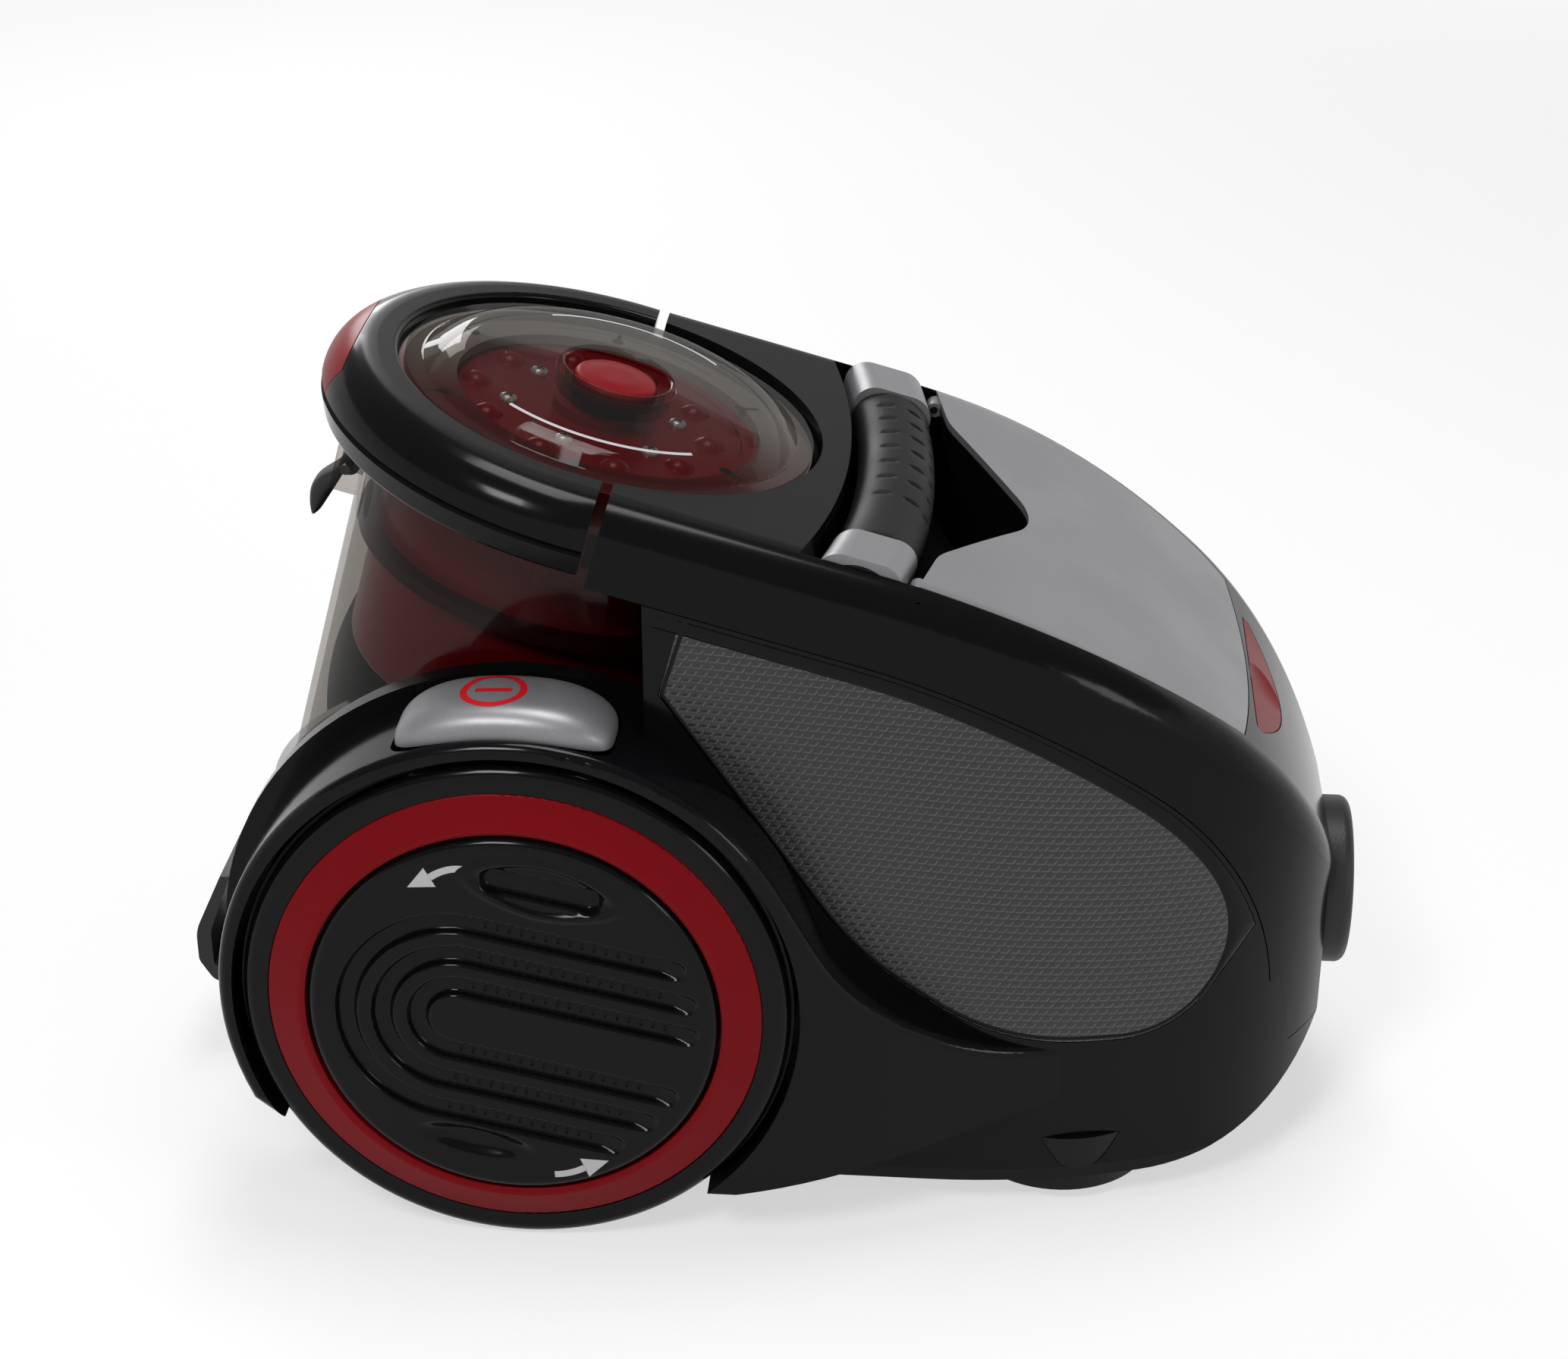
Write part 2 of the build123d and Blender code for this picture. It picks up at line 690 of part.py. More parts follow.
# Upper frame, handle and top cover
def well_outline(grow=0.0):
    """Plan of the finger well: bowed along the handle behind, drawn out to a round point in front."""
    half = WELL_HALF
    corner = WELL_CORNER_X
    rear = WELL_REAR_X
    shoulder = (corner + 6, half * 0.67)
    front = FilletPolyline(
        (corner, -half), (shoulder[0], -shoulder[1]), (WELL_APEX_X, 0), shoulder, (corner, half),
        radius=WELL_ROUND,
    )
    back = ThreePointArc((rear, half), (rear + HANDLE_BOW, 0), (rear, -half))
    left = Line((corner, half), (rear, half))
    right = Line((rear, -half), (corner, -half))
    face = make_face(front + left + back + right)
    return offset(face, amount=grow) if grow else face


def finger_well(grow):
    deep = WELL_DEEP + grow
    big = 4 * WELL_APEX_X
    floor = LID * Pos(0, 0, -deep - big / 2) * Box(2 * big, 2 * big, big)
    return upright(well_outline(grow)) - floor


def cover_outline(grow=0.0):
    """Plan of the top cover: it starts at the finger well and stays one margin inside the hull."""
    nose = Pos(COVER_FRONT_X + COVER_BOW - COVER_BOW_R + grow, 0) * Circle(COVER_BOW_R)
    face = plan_face(COVER_MARGIN - grow, WELL_CORNER_X - grow) & nose
    return face - well_outline(-grow)


def cover_depth():
    """The layer under the crown that the cover's opening passes through."""
    return crown_layer(-20, DECK_TOP - 2, WELL_CORNER_X - 20, COVER_FRONT_X + 8)


def hinge_spot(side, y=HINGE_Y):
    return Pos(COVER_HINGE_X, side * y, crown_z(COVER_HINGE_X) - HINGE_DROP) * Rot(90, 0, 0)


def hinge_lug(grow):
    """Barrel and stalk under a rear corner of the cover, about the hinge line."""
    long = HINGE_LONG + 2 * grow
    stalk = Pos(BARREL_R, 0, 0) * Box(2 * BARREL_R + 2 * grow, BARREL_R + 2 * grow, long)
    return Cylinder(BARREL_R + grow, long) + stalk


def top_cover():
    """The silver cover, cut from the hull's skin, with two hinge barrels under its rear corners."""
    body = (hull() - hull(FRAME_WALL)) & upright(cover_outline(-PANEL_GAP)) & cover_depth()
    for side in (1, -1):
        body = body + hinge_spot(side) * hinge_lug(0)
        body = body - hinge_spot(side) * Cylinder(HINGE_R + SHAFT_GAP, 4 * HINGE_LONG)
    return body


def hinge_pins():
    """Two pins in the side walls of the finger well."""
    long = HINGE_LONG + WELL_SKIN + 2
    middle = HINGE_Y - HINGE_LONG / 2 + long / 2
    return Compound(children=[hinge_spot(side, middle) * Cylinder(HINGE_R, long) for side in (1, -1)])


def latch_outline(grow=0.0):
    """Plan of the latch: straight at the cover, bowed at the front."""
    rear = COVER_FRONT_X + COVER_BOW + LATCH_GAP
    shoulder = rear + 2
    face = make_face(
        Polyline((shoulder, -LATCH_HALF), (rear, -LATCH_HALF), (rear, LATCH_HALF), (shoulder, LATCH_HALF))
        + ThreePointArc((shoulder, LATCH_HALF), (LATCH_FRONT_X, 0), (shoulder, -LATCH_HALF))
    )
    return offset(face, amount=grow) if grow else face


def cover_latch():
    """Red latch in front of the cover, cut from the hull's skin, with a dent for a finger."""
    skin = (hull() - hull(FRAME_WALL + 2)) & upright(latch_outline()) & above_seam()
    slope = radians(LATCH_SLOPE)
    middle = (COVER_FRONT_X + COVER_BOW + LATCH_GAP + LATCH_FRONT_X) / 2
    away = SCOOP_R - SCOOP_DEEP
    dent = Pos(middle + away * sin(slope), 0, crown_z(middle) + away * cos(slope)) * Sphere(SCOOP_R)
    return skin - dent


def frame_openings():
    """All that is cut out of the upper frame at the end."""
    sleeve = INLET_R + INLET_WALL + SEAT_GAP
    socket = Pos(NOSE_CUT_X, 0, INLET_Z) * Rot(0, 90, 0) * Cylinder(sleeve, INLET_DEEP)
    mouth = LID * Pos(0, 0, -RING_IN_R) * extrude(Circle(RING_IN_R), amount=2 * RING_IN_R)
    cuts = [finger_well(0), upright(latch_outline(RUN_GAP)), upright(tray_outline(SEAT_GAP)), socket, mouth]
    cuts.append(cup_space(CRADLE_GAP, -2 * RING_IN_R, RING_IN_R))
    for side in (1, -1):
        cuts.append(hinge_spot(side) * hinge_lug(RUN_GAP))
        cuts.append(hinge_spot(side, HINGE_Y + HINGE_LONG) * Cylinder(HINGE_R, HINGE_LONG + 2))
    return cuts


def upper_frame():
    """Gloss frame: the front half of the ring, two side rails, the finger well and the nose."""
    band = (hull(0, FRAME_REAR_X) - hull(FRAME_WALL, FRAME_REAR_X)) & above_seam()
    band = (band & LID * beside_notch(True)) - (upright(cover_outline()) & cover_depth())
    deck = hull(FRAME_WALL) & crown_layer(
        DECK_TOP, DECK_TOP + DECK_THICK, TRAY_REAR_X - DECK_RIM, TRAY_FRONT_X + DECK_RIM
    )
    well = finger_well(WELL_SKIN) & hull(FRAME_WALL + SEAT_GAP)
    body = band + well + deck + LID * ring_half(True)
    for cut in frame_openings():
        body = body - cut
    return body


def tray_outline(grow=0.0):
    long = TRAY_FRONT_X - TRAY_REAR_X + 2 * grow
    return Pos((TRAY_REAR_X + TRAY_FRONT_X) / 2, 0) * Rectangle(long, 2 * (TRAY_HALF + grow))


def filter_tray():
    """Tray that drops through the deck and hangs on its rim."""
    rim = 4.0
    flange = upright(tray_outline(rim)) & crown_layer(
        DECK_TOP - TRAY_WALL, DECK_TOP, TRAY_REAR_X - rim, TRAY_FRONT_X + rim
    )
    low = DECK_TOP + TRAY_DEEP
    cup = upright(tray_outline()) & crown_layer(DECK_TOP - 1, low, TRAY_REAR_X, TRAY_FRONT_X)
    room = upright(tray_outline(-TRAY_WALL)) & crown_layer(0, low - TRAY_WALL, TRAY_REAR_X, TRAY_FRONT_X)
    return flange + cup - room - upright(Pos((TRAY_REAR_X + TRAY_FRONT_X) / 2, 0) * Circle(EYE_R))


def motor_filter():
    """Flat filter pad in the tray."""
    low = DECK_TOP + TRAY_DEEP - TRAY_WALL - SEAT_GAP
    return upright(tray_outline(-TRAY_WALL - SEAT_GAP)) & crown_layer(
        DECK_TOP, low, TRAY_REAR_X + TRAY_WALL, TRAY_FRONT_X - TRAY_WALL
    )


def handle_path(half):
    """The bowed centre line of the carry handle."""
    end_z = crown_z(HANDLE_X) - HANDLE_SINK
    middle_x = HANDLE_X + HANDLE_BOW
    middle = (middle_x, 0, crown_z(middle_x) - HANDLE_SINK)
    return ThreePointArc((HANDLE_X, -half, end_z), middle, (HANDLE_X, half, end_z))


def handle_sweep(profile, path):
    start = Plane(origin=path @ 0, x_dir=(cos(TILT), 0, -sin(TILT)), z_dir=path % 0)
    return sweep(start * profile, path=path)


def carry_handle():
    core = Ellipse(GRIP_LONG / 2 - GRIP_SKIN, GRIP_TALL / 2 - GRIP_SKIN)
    bar = handle_sweep(core, handle_path(WELL_HALF + 10))
    return bar & upright(well_outline())


def handle_piece(profile, low, high):
    """A stretch of the handle between two distances from the mid-plane."""
    whole = handle_sweep(profile, handle_path(WELL_HALF + 10))
    big = 400
    return whole & Pos(HANDLE_X, (low + high) / 2, LID_Z) * Box(big, high - low, big)


def handle_grip():
    outer = Ellipse(GRIP_LONG / 2, GRIP_TALL / 2)
    core = Ellipse(GRIP_LONG / 2 - GRIP_SKIN, GRIP_TALL / 2 - GRIP_SKIN)
    return handle_piece(outer - core, -GRIP_HALF, GRIP_HALF)


def handle_cap():
    outer = RectangleRounded(GRIP_LONG + 1, GRIP_TALL, GRIP_TALL / 2 - 3)
    core = Ellipse(GRIP_LONG / 2 - GRIP_SKIN, GRIP_TALL / 2 - GRIP_SKIN)
    return handle_piece(outer - core, GRIP_HALF + SEAT_GAP, WELL_HALF - SEAT_GAP)


# Lower body, side panels and base
def panel_edge():
    """Lower edge of the side panel: a long sweep from the pillar to the nose."""
    return FilletPolyline(
        (-29, 0, 217), (42, 0, 113), (95, 0, 76), (160, 0, 74), (196, 0, 126), radius=[120, 100, 40]
    )


def panel_prism(shrink=0.0):
    """The panel's outline across the width, open upward to the seam."""
    low = panel_edge()
    roof = 2 * LID_Z
    rest = Polyline(low @ 1, ((low @ 1).X + 6, 0, roof), (-17, 0, roof), (-17, 0, 262), low @ 0)
    face = make_face(low + rest)
    if shrink:
        face = offset(face, amount=-shrink)
    return side_prism(face) - above_seam(FRAME_BAND + SEAM_LIP + shrink)


def side_panel():
    """Textured side panel on the left, cut from the hull's skin."""
    skin = (hull() - hull(PANEL_THICK)) & panel_prism(PANEL_GAP)
    return skin & Pos(0, WIDE / 2, 0) * Box(2 * WIDE, WIDE, 4 * LID_Z)


def axle_disc(radius, y_from, y_to):
    """A disc on the axle line, on the left side."""
    return AXLE * Pos(0, 0, y_from) * extrude(Circle(radius), amount=y_to - y_from)


def fender():
    """Left fender: a drum over the wheel that sweeps forward into the hull's flank."""
    turn = radians(FENDER_SWEEP)
    heel = radians(FENDER_HEEL)
    low = FENDER_LOW_Z
    crest = (AXLE_X + FENDER_R * cos(turn), 0, WHEEL_R + FENDER_R * sin(turn))
    back = (AXLE_X - FENDER_R * cos(heel), 0, WHEEL_R - FENDER_R * sin(heel))
    arch = ThreePointArc(back, (AXLE_X, 0, WHEEL_R + FENDER_R), crest)
    run_out = Vector(*crest) + (arch % 1) * FENDER_RUN
    end = (FENDER_TAIL_X, 0, FENDER_TAIL_Z)
    tail = FilletPolyline(crest, run_out, (92, 0, FENDER_TAIL_Z), end, radius=[90, 90])
    rest = Polyline(
        end, (FENDER_TAIL_X, 0, FENDER_TAIL_LOW), (FENDER_BELLY_X, 0, FENDER_BELLY_Z), (0, 0, low),
        (FENDER_HEEL_X, 0, low), back,
    )
    block = extrude(make_face(arch + tail + rest), amount=WIDE, dir=(0, 1, 0))
    inner = WELL_Y - WELL_WALL
    out = WHEEL_OUT_Y
    flank = FilletPolyline((-FENDER_RUN, out), (30, out), (165, inner), radius=150)
    plan = make_face(flank + Polyline(flank @ 1, (-FAR, inner), (-FAR, out), flank @ 0))
    body = block & upright(plan)
    body = fillet([edge for edge in body.edges() if is_fender_edge(edge)], FENDER_EDGE)
    rim = axle_disc(FENDER_ARCH_R, inner, inner + ARCH_WIDE)
    return body + (rim & Pos(AXLE_X, 0, WHEEL_R + WIDE / 2) * Box(WIDE, WIDE, WIDE))


def is_fender_edge(edge):
    """True for the outer edge of the fender, from its rear foot round to the run into the flank."""
    middle = edge @ 0.5
    outside = abs(middle.Y - WHEEL_OUT_Y) < 1
    return outside and middle.Z > FENDER_LOW_Z + 1 and abs((edge % 0.5).Y) < 0.5


def pedal_prism(gap):
    outline = RectangleRounded(PEDAL_LONG + 2 * gap, PEDAL_WIDE + 2 * gap, PEDAL_CORNER + gap)
    return Pos(PEDAL_X, PEDAL_Y) * outline


def pedal():
    """Left foot pedal: a rounded block with an arched underside that follows the fender."""
    top = PEDAL_TOP_Z
    body = extrude(pedal_prism(0), amount=top)
    body = body - axle_disc(FENDER_R - 0.5, 0, WIDE)
    crown = AXLE * extrude(Circle(top - WHEEL_R), amount=WIDE)
    body = body & crown & Pos(0, 0, top) * Box(WIDE, WIDE, 2 * PEDAL_TALL + 20)
    upper = body.edges().filter_by(lambda edge: edge.center().Z > top - 8)
    return fillet(upper, PEDAL_ROUND)


def reel_house(radius, low, top):
    return Pos(REEL_X, 0, low) * extrude(Circle(radius), amount=top - low)


def below(z):
    """Everything under a height."""
    return Pos(0, 0, z - LID_Z) * Box(4 * LID_Z, WIDE, 2 * LID_Z)


def bush_spot(reach):
    """A place on the reel housing's rear wall, looking outward."""
    return Pos(REEL_X, 0, BUSH_Z) * Rot(0, 0, BUSH_TURN) * Pos(reach, 0, 0) * Rot(0, 90, 0)


def pods(grow):
    """The two flared housings of the casters."""
    radius = CASTER_DISC_R + 1 + POD_WALL + grow
    tall = POD_TOP_Z - POD_LOW_Z
    pod = Pos(CASTER_X, CASTER_Y, POD_LOW_Z + tall / 2) * Cone(radius, radius + POD_FLARE, tall + 2 * grow)
    return [pod, mirrored(pod)]


def body_cavity():
    """The hull's inner space, less the wheel wells."""
    drum = axle_disc(WELL_R + WELL_WALL, WELL_Y - WELL_WALL, WIDE)
    return hull(BODY_WALL) - drum - mirrored(drum)


def cradle_space(grow):
    """The outer form of the cradle: a tub round the cup with the reel's drum below it."""
    low = CUP_FLOOR - RUN_GAP - CRADLE_WALL
    tub = cup_space(CRADLE_GAP + CRADLE_WALL + grow, low - grow, 0) & below(CRADLE_RIM_Z + grow)
    floor = HULL_FLOOR_Z + BASE_THICK
    return tub + reel_house(REEL_ROOM_R + CRADLE_WALL + grow, floor, REEL_HOUSE_TOP)


def cup_cradle():
    """Inner tub that holds the dust cup, with the room for the cord reel under it."""
    floor = HULL_FLOOR_Z + BASE_THICK
    low = CUP_FLOOR - RUN_GAP
    room = reel_house(REEL_ROOM_R, floor - 1, REEL_HOUSE_TOP)
    room = room - cup_space(CRADLE_GAP + CRADLE_WALL, low - CRADLE_WALL, WIDE)
    bush = bush_spot(REEL_ROOM_R - 4) * extrude(Circle(BUSH_R), amount=20)
    body = cradle_space(0) - cup_space(CRADLE_GAP, low, WIDE) - room - below(floor)
    return body - inlet_port(DUCT_R) - bush


def lower_body():
    """Gloss lower shell with both fenders; the cradle stands in its rear."""
    room_left, room_right = pods(SEAT_GAP)
    side = fender() - room_left
    body = hull() - above_seam(FRAME_BAND + PANEL_GAP) - room_left - room_right
    body = body + side + mirrored(side)
    well = axle_disc(WELL_R, WELL_Y, WIDE)
    opening = extrude(pedal_prism(RUN_GAP), amount=LID_Z) - below(WHEEL_R + HUB_R)
    recess = panel_prism() & (hull(-FRAME_WALL) - hull(PANEL_THICK))
    cuts = [body_cavity(), cradle_space(SEAT_GAP), cup_space(CRADLE_GAP, CUP_FLOOR, WIDE), recess]
    cuts = cuts + [below(HULL_FLOOR_Z + BASE_THICK), well, mirrored(well), opening, mirrored(opening)]
    for cut in cuts:
        body = body - cut
    return body


def base_plate():
    """Floor of the machine, with the caster pods, the motor's pedestal and the reel's spindle."""
    low = HULL_FLOOR_Z
    floor = low + BASE_THICK
    reel_end = reel_house(REEL_ROOM_R + CRADLE_WALL, low, floor)
    middle = (REEL_X + HULL_REAR_X) / 2 + DECK_RIM
    bridge = Pos(middle, 0, low + BASE_THICK / 2) * Box(HULL_REAR_X - REEL_X, 2 * REEL_ROOM_R, BASE_THICK)
    pedestal = tube(MOTOR_R, MOTOR_R - CRADLE_WALL, MOTOR_BASE_Z - MOUNT_TALL - low)
    body = (hull() & below(floor)) + reel_end + bridge + Pos(MOTOR_X, MOTOR_Y, low) * pedestal
    for pod in pods(0):
        body = body + pod
    ceiling = POD_TOP_Z - POD_WALL
    for side in (1, -1):
        spot = Pos(CASTER_X, side * CASTER_Y, 0)
        body = body + spot * Pos(0, 0, ceiling) * extrude(Circle(3 * CASTER_STEM_R), amount=STEM_LONG)
        body = body - spot * extrude(Circle(CASTER_DISC_R + 1), amount=ceiling)
        body = body - spot * extrude(Circle(CASTER_STEM_R + SHAFT_GAP), amount=LID_Z)
    well = axle_disc(WELL_R, WELL_Y - WELL_WALL, WIDE)
    body = body - well - mirrored(well)
    shoulder = reel_house(2 * SPINDLE_R, low, REEL_LOW_Z - RUN_GAP)
    return body + shoulder + reel_house(SPINDLE_R, low, REEL_TOP_Z)


def parking_bracket():
    """Curved catch on the rear wall that holds a wand's hook."""
    wall_x = REEL_X - REEL_ROOM_R - CRADLE_WALL + 1
    out = BRACKET_X
    wall = BRACKET_WALL
    low = BRACKET_LOW_Z
    shelf = low + wall + 1
    plate = section(
        (wall_x, low), (out + wall, low, 6), (out, low + 10, 6), (out, low + 24, 20),
        (out + 12, BRACKET_TOP_Z),
        (out + 16, BRACKET_TOP_Z), (out + wall, low + 24, 14), (out + wall, shelf, 3), (wall_x, shelf),
    )
    body = extrude(Plane.XZ * plate, amount=BRACKET_HALF, both=True)
    return body - reel_house(REEL_ROOM_R + CRADLE_WALL, 0, LID_Z)


def cord_outlet():
    """Bush in the reel housing's wall where the mains cord would leave."""
    wall = CRADLE_WALL + 2
    barrel = Pos(0, 0, 0) * tube(BUSH_R, BUSH_BORE_R, wall + 3)
    flange = Pos(0, 0, wall) * tube(BUSH_R + 3, BUSH_BORE_R, 3)
    return bush_spot(REEL_ROOM_R - 1) * (barrel + flange)


def cord_reel():
    """Empty drum for the mains cord, on the spindle."""
    bore = SPINDLE_R + SHAFT_GAP
    low = REEL_LOW_Z
    top = REEL_TOP_Z
    thick = REEL_FLANGE
    return Pos(REEL_X, 0, 0) * turned(
        (bore, low), (REEL_R, low), (REEL_R, low + thick), (REEL_HUB_R, low + thick),
        (REEL_HUB_R, top - thick), (REEL_R, top - thick), (REEL_R, top), (bore, top),
    )


# Motor and fan
def motor_spot(z):
    return Pos(MOTOR_X, MOTOR_Y, z)


def motor_mount():
    return motor_spot(MOTOR_BASE_Z - MOUNT_TALL) * tube(MOTOR_R, MOTOR_R - CRADLE_WALL, MOUNT_TALL)


def motor_can():
    """Closed can with a bearing at each end and slots round its foot."""
    outer = extrude(Circle(MOTOR_R), amount=MOTOR_TALL)
    room = Pos(0, 0, CAN_WALL) * extrude(Circle(MOTOR_R - CAN_WALL), amount=MOTOR_TALL - 2 * CAN_WALL)
    nose = Pos(0, 0, CAN_WALL) * extrude(Circle(3 * SHAFT_R), amount=SHAFT_R)
    body = outer - room + nose
    for spot in PolarLocations(MOTOR_R, BLADE_COUNT):
        body = body - spot * Pos(0, 0, MOTOR_TALL / 4) * Box(4 * CAN_WALL, SHAFT_R * 2, MOTOR_TALL / 5)
    bore = Pos(0, 0, -1) * extrude(Circle(SHAFT_R + SHAFT_GAP), amount=2 * MOTOR_TALL)
    return motor_spot(MOTOR_BASE_Z) * (body - bore)


def fan_housing():
    """Drum over the impeller, with the eye on top and outlet slots round its foot."""
    outer = extrude(Circle(FAN_R), amount=FAN_TALL)
    room = Pos(0, 0, CAN_WALL) * extrude(Circle(FAN_R - CAN_WALL), amount=FAN_TALL - 2 * CAN_WALL)
    eye = extrude(Circle(EYE_R), amount=2 * FAN_TALL)
    collar = Pos(0, 0, FAN_TALL - 1) * tube(EYE_R + CAN_WALL, EYE_R, SHAFT_R + 1)
    body = outer - room - eye + collar
    for spot in PolarLocations(FAN_R, BLADE_COUNT):
        body = body - spot * Pos(0, 0, FAN_TALL / 3) * Box(4 * CAN_WALL, EYE_R, FAN_TALL / 3)
    return motor_spot(MOTOR_BASE_Z + MOTOR_TALL) * body


def motor_shaft():
    low = MOTOR_BASE_Z + 1
    return motor_spot(low) * extrude(Circle(SHAFT_R), amount=MOTOR_TALL + FAN_TALL - 6)


def fan_impeller():
    """Disc with backward-swept blades on the shaft."""
    tall = FAN_TALL / 2
    disc = extrude(Circle(IMPELLER_R), amount=CAN_WALL)
    body = disc + extrude(Circle(2.5 * SHAFT_R), amount=tall)
    long = IMPELLER_R - EYE_R
    for spot in PolarLocations((IMPELLER_R + EYE_R) / 2 - 2, BLADE_COUNT):
        body = body + spot * Rot(0, 0, 35) * Pos(0, 0, tall / 2) * Box(long, CAN_WALL, tall)
    body = body - extrude(Circle(SHAFT_R), amount=FAN_TALL)
    return motor_spot(MOTOR_BASE_Z + MOTOR_TALL + 2 * CAN_WALL) * body


# Rear wheels
def rear_wheel():
    """Wheel rim with a channel behind its face, a seat for the red ring and a groove for the tread."""
    bore = HUB_R + RUN_GAP
    face = WHEEL_OUT_Y
    back = WHEEL_IN_Y + 2
    seat = face - RING_SEAT
    web = seat - 5
    edge = WHEEL_R - 1
    rim = WHEEL_R - TREAD_THICK
    mid = (WHEEL_IN_Y + face) / 2
    half = TREAD_WIDE / 2
    ring = RED_RING_OUT_R + SEAT_GAP
    return AXLE * turned(
        (bore, WHEEL_IN_Y), (bore + 5, WHEEL_IN_Y), (bore + 5, web), (rim - 5, web), (rim - 5, back),
        (edge, back, 1), (edge, mid - half), (rim, mid - half), (rim, mid + half), (edge, mid + half),
        (edge, face, RIM_ROUND), (ring, face), (ring, seat), (bore, seat),
    )


def wheel_tread():
    mid = (WHEEL_IN_Y + WHEEL_OUT_Y) / 2
    return AXLE * Pos(0, 0, mid - TREAD_WIDE / 2) * tube(WHEEL_R, WHEEL_R - TREAD_THICK, TREAD_WIDE)


def wheel_ring():
    """Red inlay: it rises towards its inner edge."""
    seat = WHEEL_OUT_Y - RING_SEAT
    top = WHEEL_OUT_Y + RED_RING_PROUD
    return AXLE * turned(
        (RED_RING_IN_R, seat), (RED_RING_OUT_R, seat), (RED_RING_OUT_R, WHEEL_OUT_Y, 1),
        (RED_RING_IN_R + 2, top, 2),
        (RED_RING_IN_R, top - 1, 0.5),
    )


def wheel_hub():
    """Fixed drum that the wheel turns on; it holds the exhaust filter behind a slotted floor."""
    lip_low = WHEEL_OUT_Y - RING_SEAT + RUN_GAP
    lip_top = lip_low + HUB_LIP_TALL
    lip = HUB_R + HUB_LIP
    bore = HUB_R - HUB_WALL
    groove = HUB_WALL - 1.5
    lug_low = lip_top - LUG_DROP - 2
    lug_top = lug_low + LUG_TALL + 4
    foot = HUB_R + 12
    floor = WELL_Y + HUB_FLOOR
    body = turned(
        (0, WELL_Y), (foot, WELL_Y), (foot, WELL_Y + HUB_WALL), (HUB_R, WELL_Y + HUB_WALL),
        (HUB_R, lip_low),
        (lip, lip_low), (lip, lip_top), (bore, lip_top), (bore, lug_top), (bore + groove, lug_top),
        (bore + groove, lug_low), (bore, lug_low), (bore, floor), (0, floor),
    )
    for spot in PolarLocations(bore, LUG_COUNT, start_angle=-LUG_TURN):
        body = body - spot * Pos(0, 0, lip_top - LUG_DROP / 2) * Box(2 * groove, LUG_WIDE + 3, LUG_DROP + 1)
    for index in range(GRILLE_COUNT):
        y = (index - (GRILLE_COUNT - 1) / 2) * GRILLE_PITCH
        long = 2 * sqrt((bore - 10) ** 2 - y ** 2)
        body = body - Pos(0, y, WELL_Y) * Box(long, GRILLE_WIDE, 4 * HUB_FLOOR)
    return AXLE * body


def exhaust_filter():
    """Pleated filter disc in the hub."""
    low = WELL_Y + HUB_FLOOR
    radius = HUB_R - HUB_WALL - SEAT_GAP
    body = Pos(0, 0, low) * extrude(Circle(radius), amount=FILTER_TALL)
    count = int(2 * (radius - 6) / PLEAT_PITCH)
    for index in range(count):
        y = (index - (count - 1) / 2) * PLEAT_PITCH
        long = 2 * sqrt((radius - 4) ** 2 - y ** 2)
        body = body - Pos(0, y, low + FILTER_TALL) * Box(long, PLEAT_PITCH / 2, FILTER_TALL)
    return AXLE * body


def groove_face(radius, wide):
    """One U-shaped groove: a half circle at the rear and two arms that end inside the rim."""
    outer = radius + wide / 2
    inner = radius - wide / 2
    reach = sqrt((COVER_R - GROOVE_RIM) ** 2 - (radius + GROOVE_LOW) ** 2)
    long = reach - GROOVE_BEND
    arms = Pos(GROOVE_BEND + long / 2, 0) * (Rectangle(long, 2 * outer) - Rectangle(long, 2 * inner))
    bend = Circle(outer) - Circle(inner)
    bend = Pos(GROOVE_BEND, 0) * (bend & Pos(-outer, 0) * Rectangle(2 * outer, 2 * outer))
    ends = Pos(reach, radius) * Circle(wide / 2) + Pos(reach, -radius) * Circle(wide / 2)
    return Pos(0, GROOVE_LOW) * (arms + bend + ends)


def exhaust_cover():
    """Round cover with nested slotted grooves, two finger recesses and bayonet lugs on its skirt."""
    lip_top = WHEEL_OUT_Y - RING_SEAT + RUN_GAP + HUB_LIP_TALL
    seat = lip_top + RUN_GAP
    top = COVER_FACE_Y
    floor = top - COVER_THICK
    skirt_r = HUB_R - HUB_WALL - RUN_GAP
    skirt_in = skirt_r - SKIRT_WALL
    lug_low = lip_top - LUG_DROP
    body = turned(
        (0, floor), (0, top), (COVER_R, top, COVER_ROUND), (COVER_R, seat), (skirt_r, seat),
        (skirt_r, lug_low), (skirt_in, lug_low), (skirt_in, floor),
    )
    lug = Pos(0, 0, lug_low + LUG_TALL / 2) * Box(2 * (HUB_WALL - 2), LUG_WIDE, LUG_TALL)
    for spot in PolarLocations(skirt_r, LUG_COUNT):
        body = body + spot * lug
    pattern = Rot(0, 0, GROOVE_TURN)
    for index in range(GROOVE_COUNT):
        radius = GROOVE_PITCH * (index + 1)
        groove = extrude(groove_face(radius, GROOVE_WIDE), amount=COVER_THICK)
        slit = extrude(groove_face(radius, SLIT_WIDE), amount=2 * COVER_THICK)
        body = body - pattern * Pos(0, 0, top - GROOVE_DEEP) * groove
        body = body - pattern * Pos(0, 0, floor - 1) * slit
    recess = scale(Sphere(1), (RECESS_LONG, RECESS_WIDE, GROOVE_DEEP - 1))
    for side in (1, -1):
        body = body - pattern * Pos(0, side * RECESS_Y, top) * recess
    return AXLE * body


# Front casters
def caster_spot(side):
    return Pos(CASTER_X, side * CASTER_Y, 0)


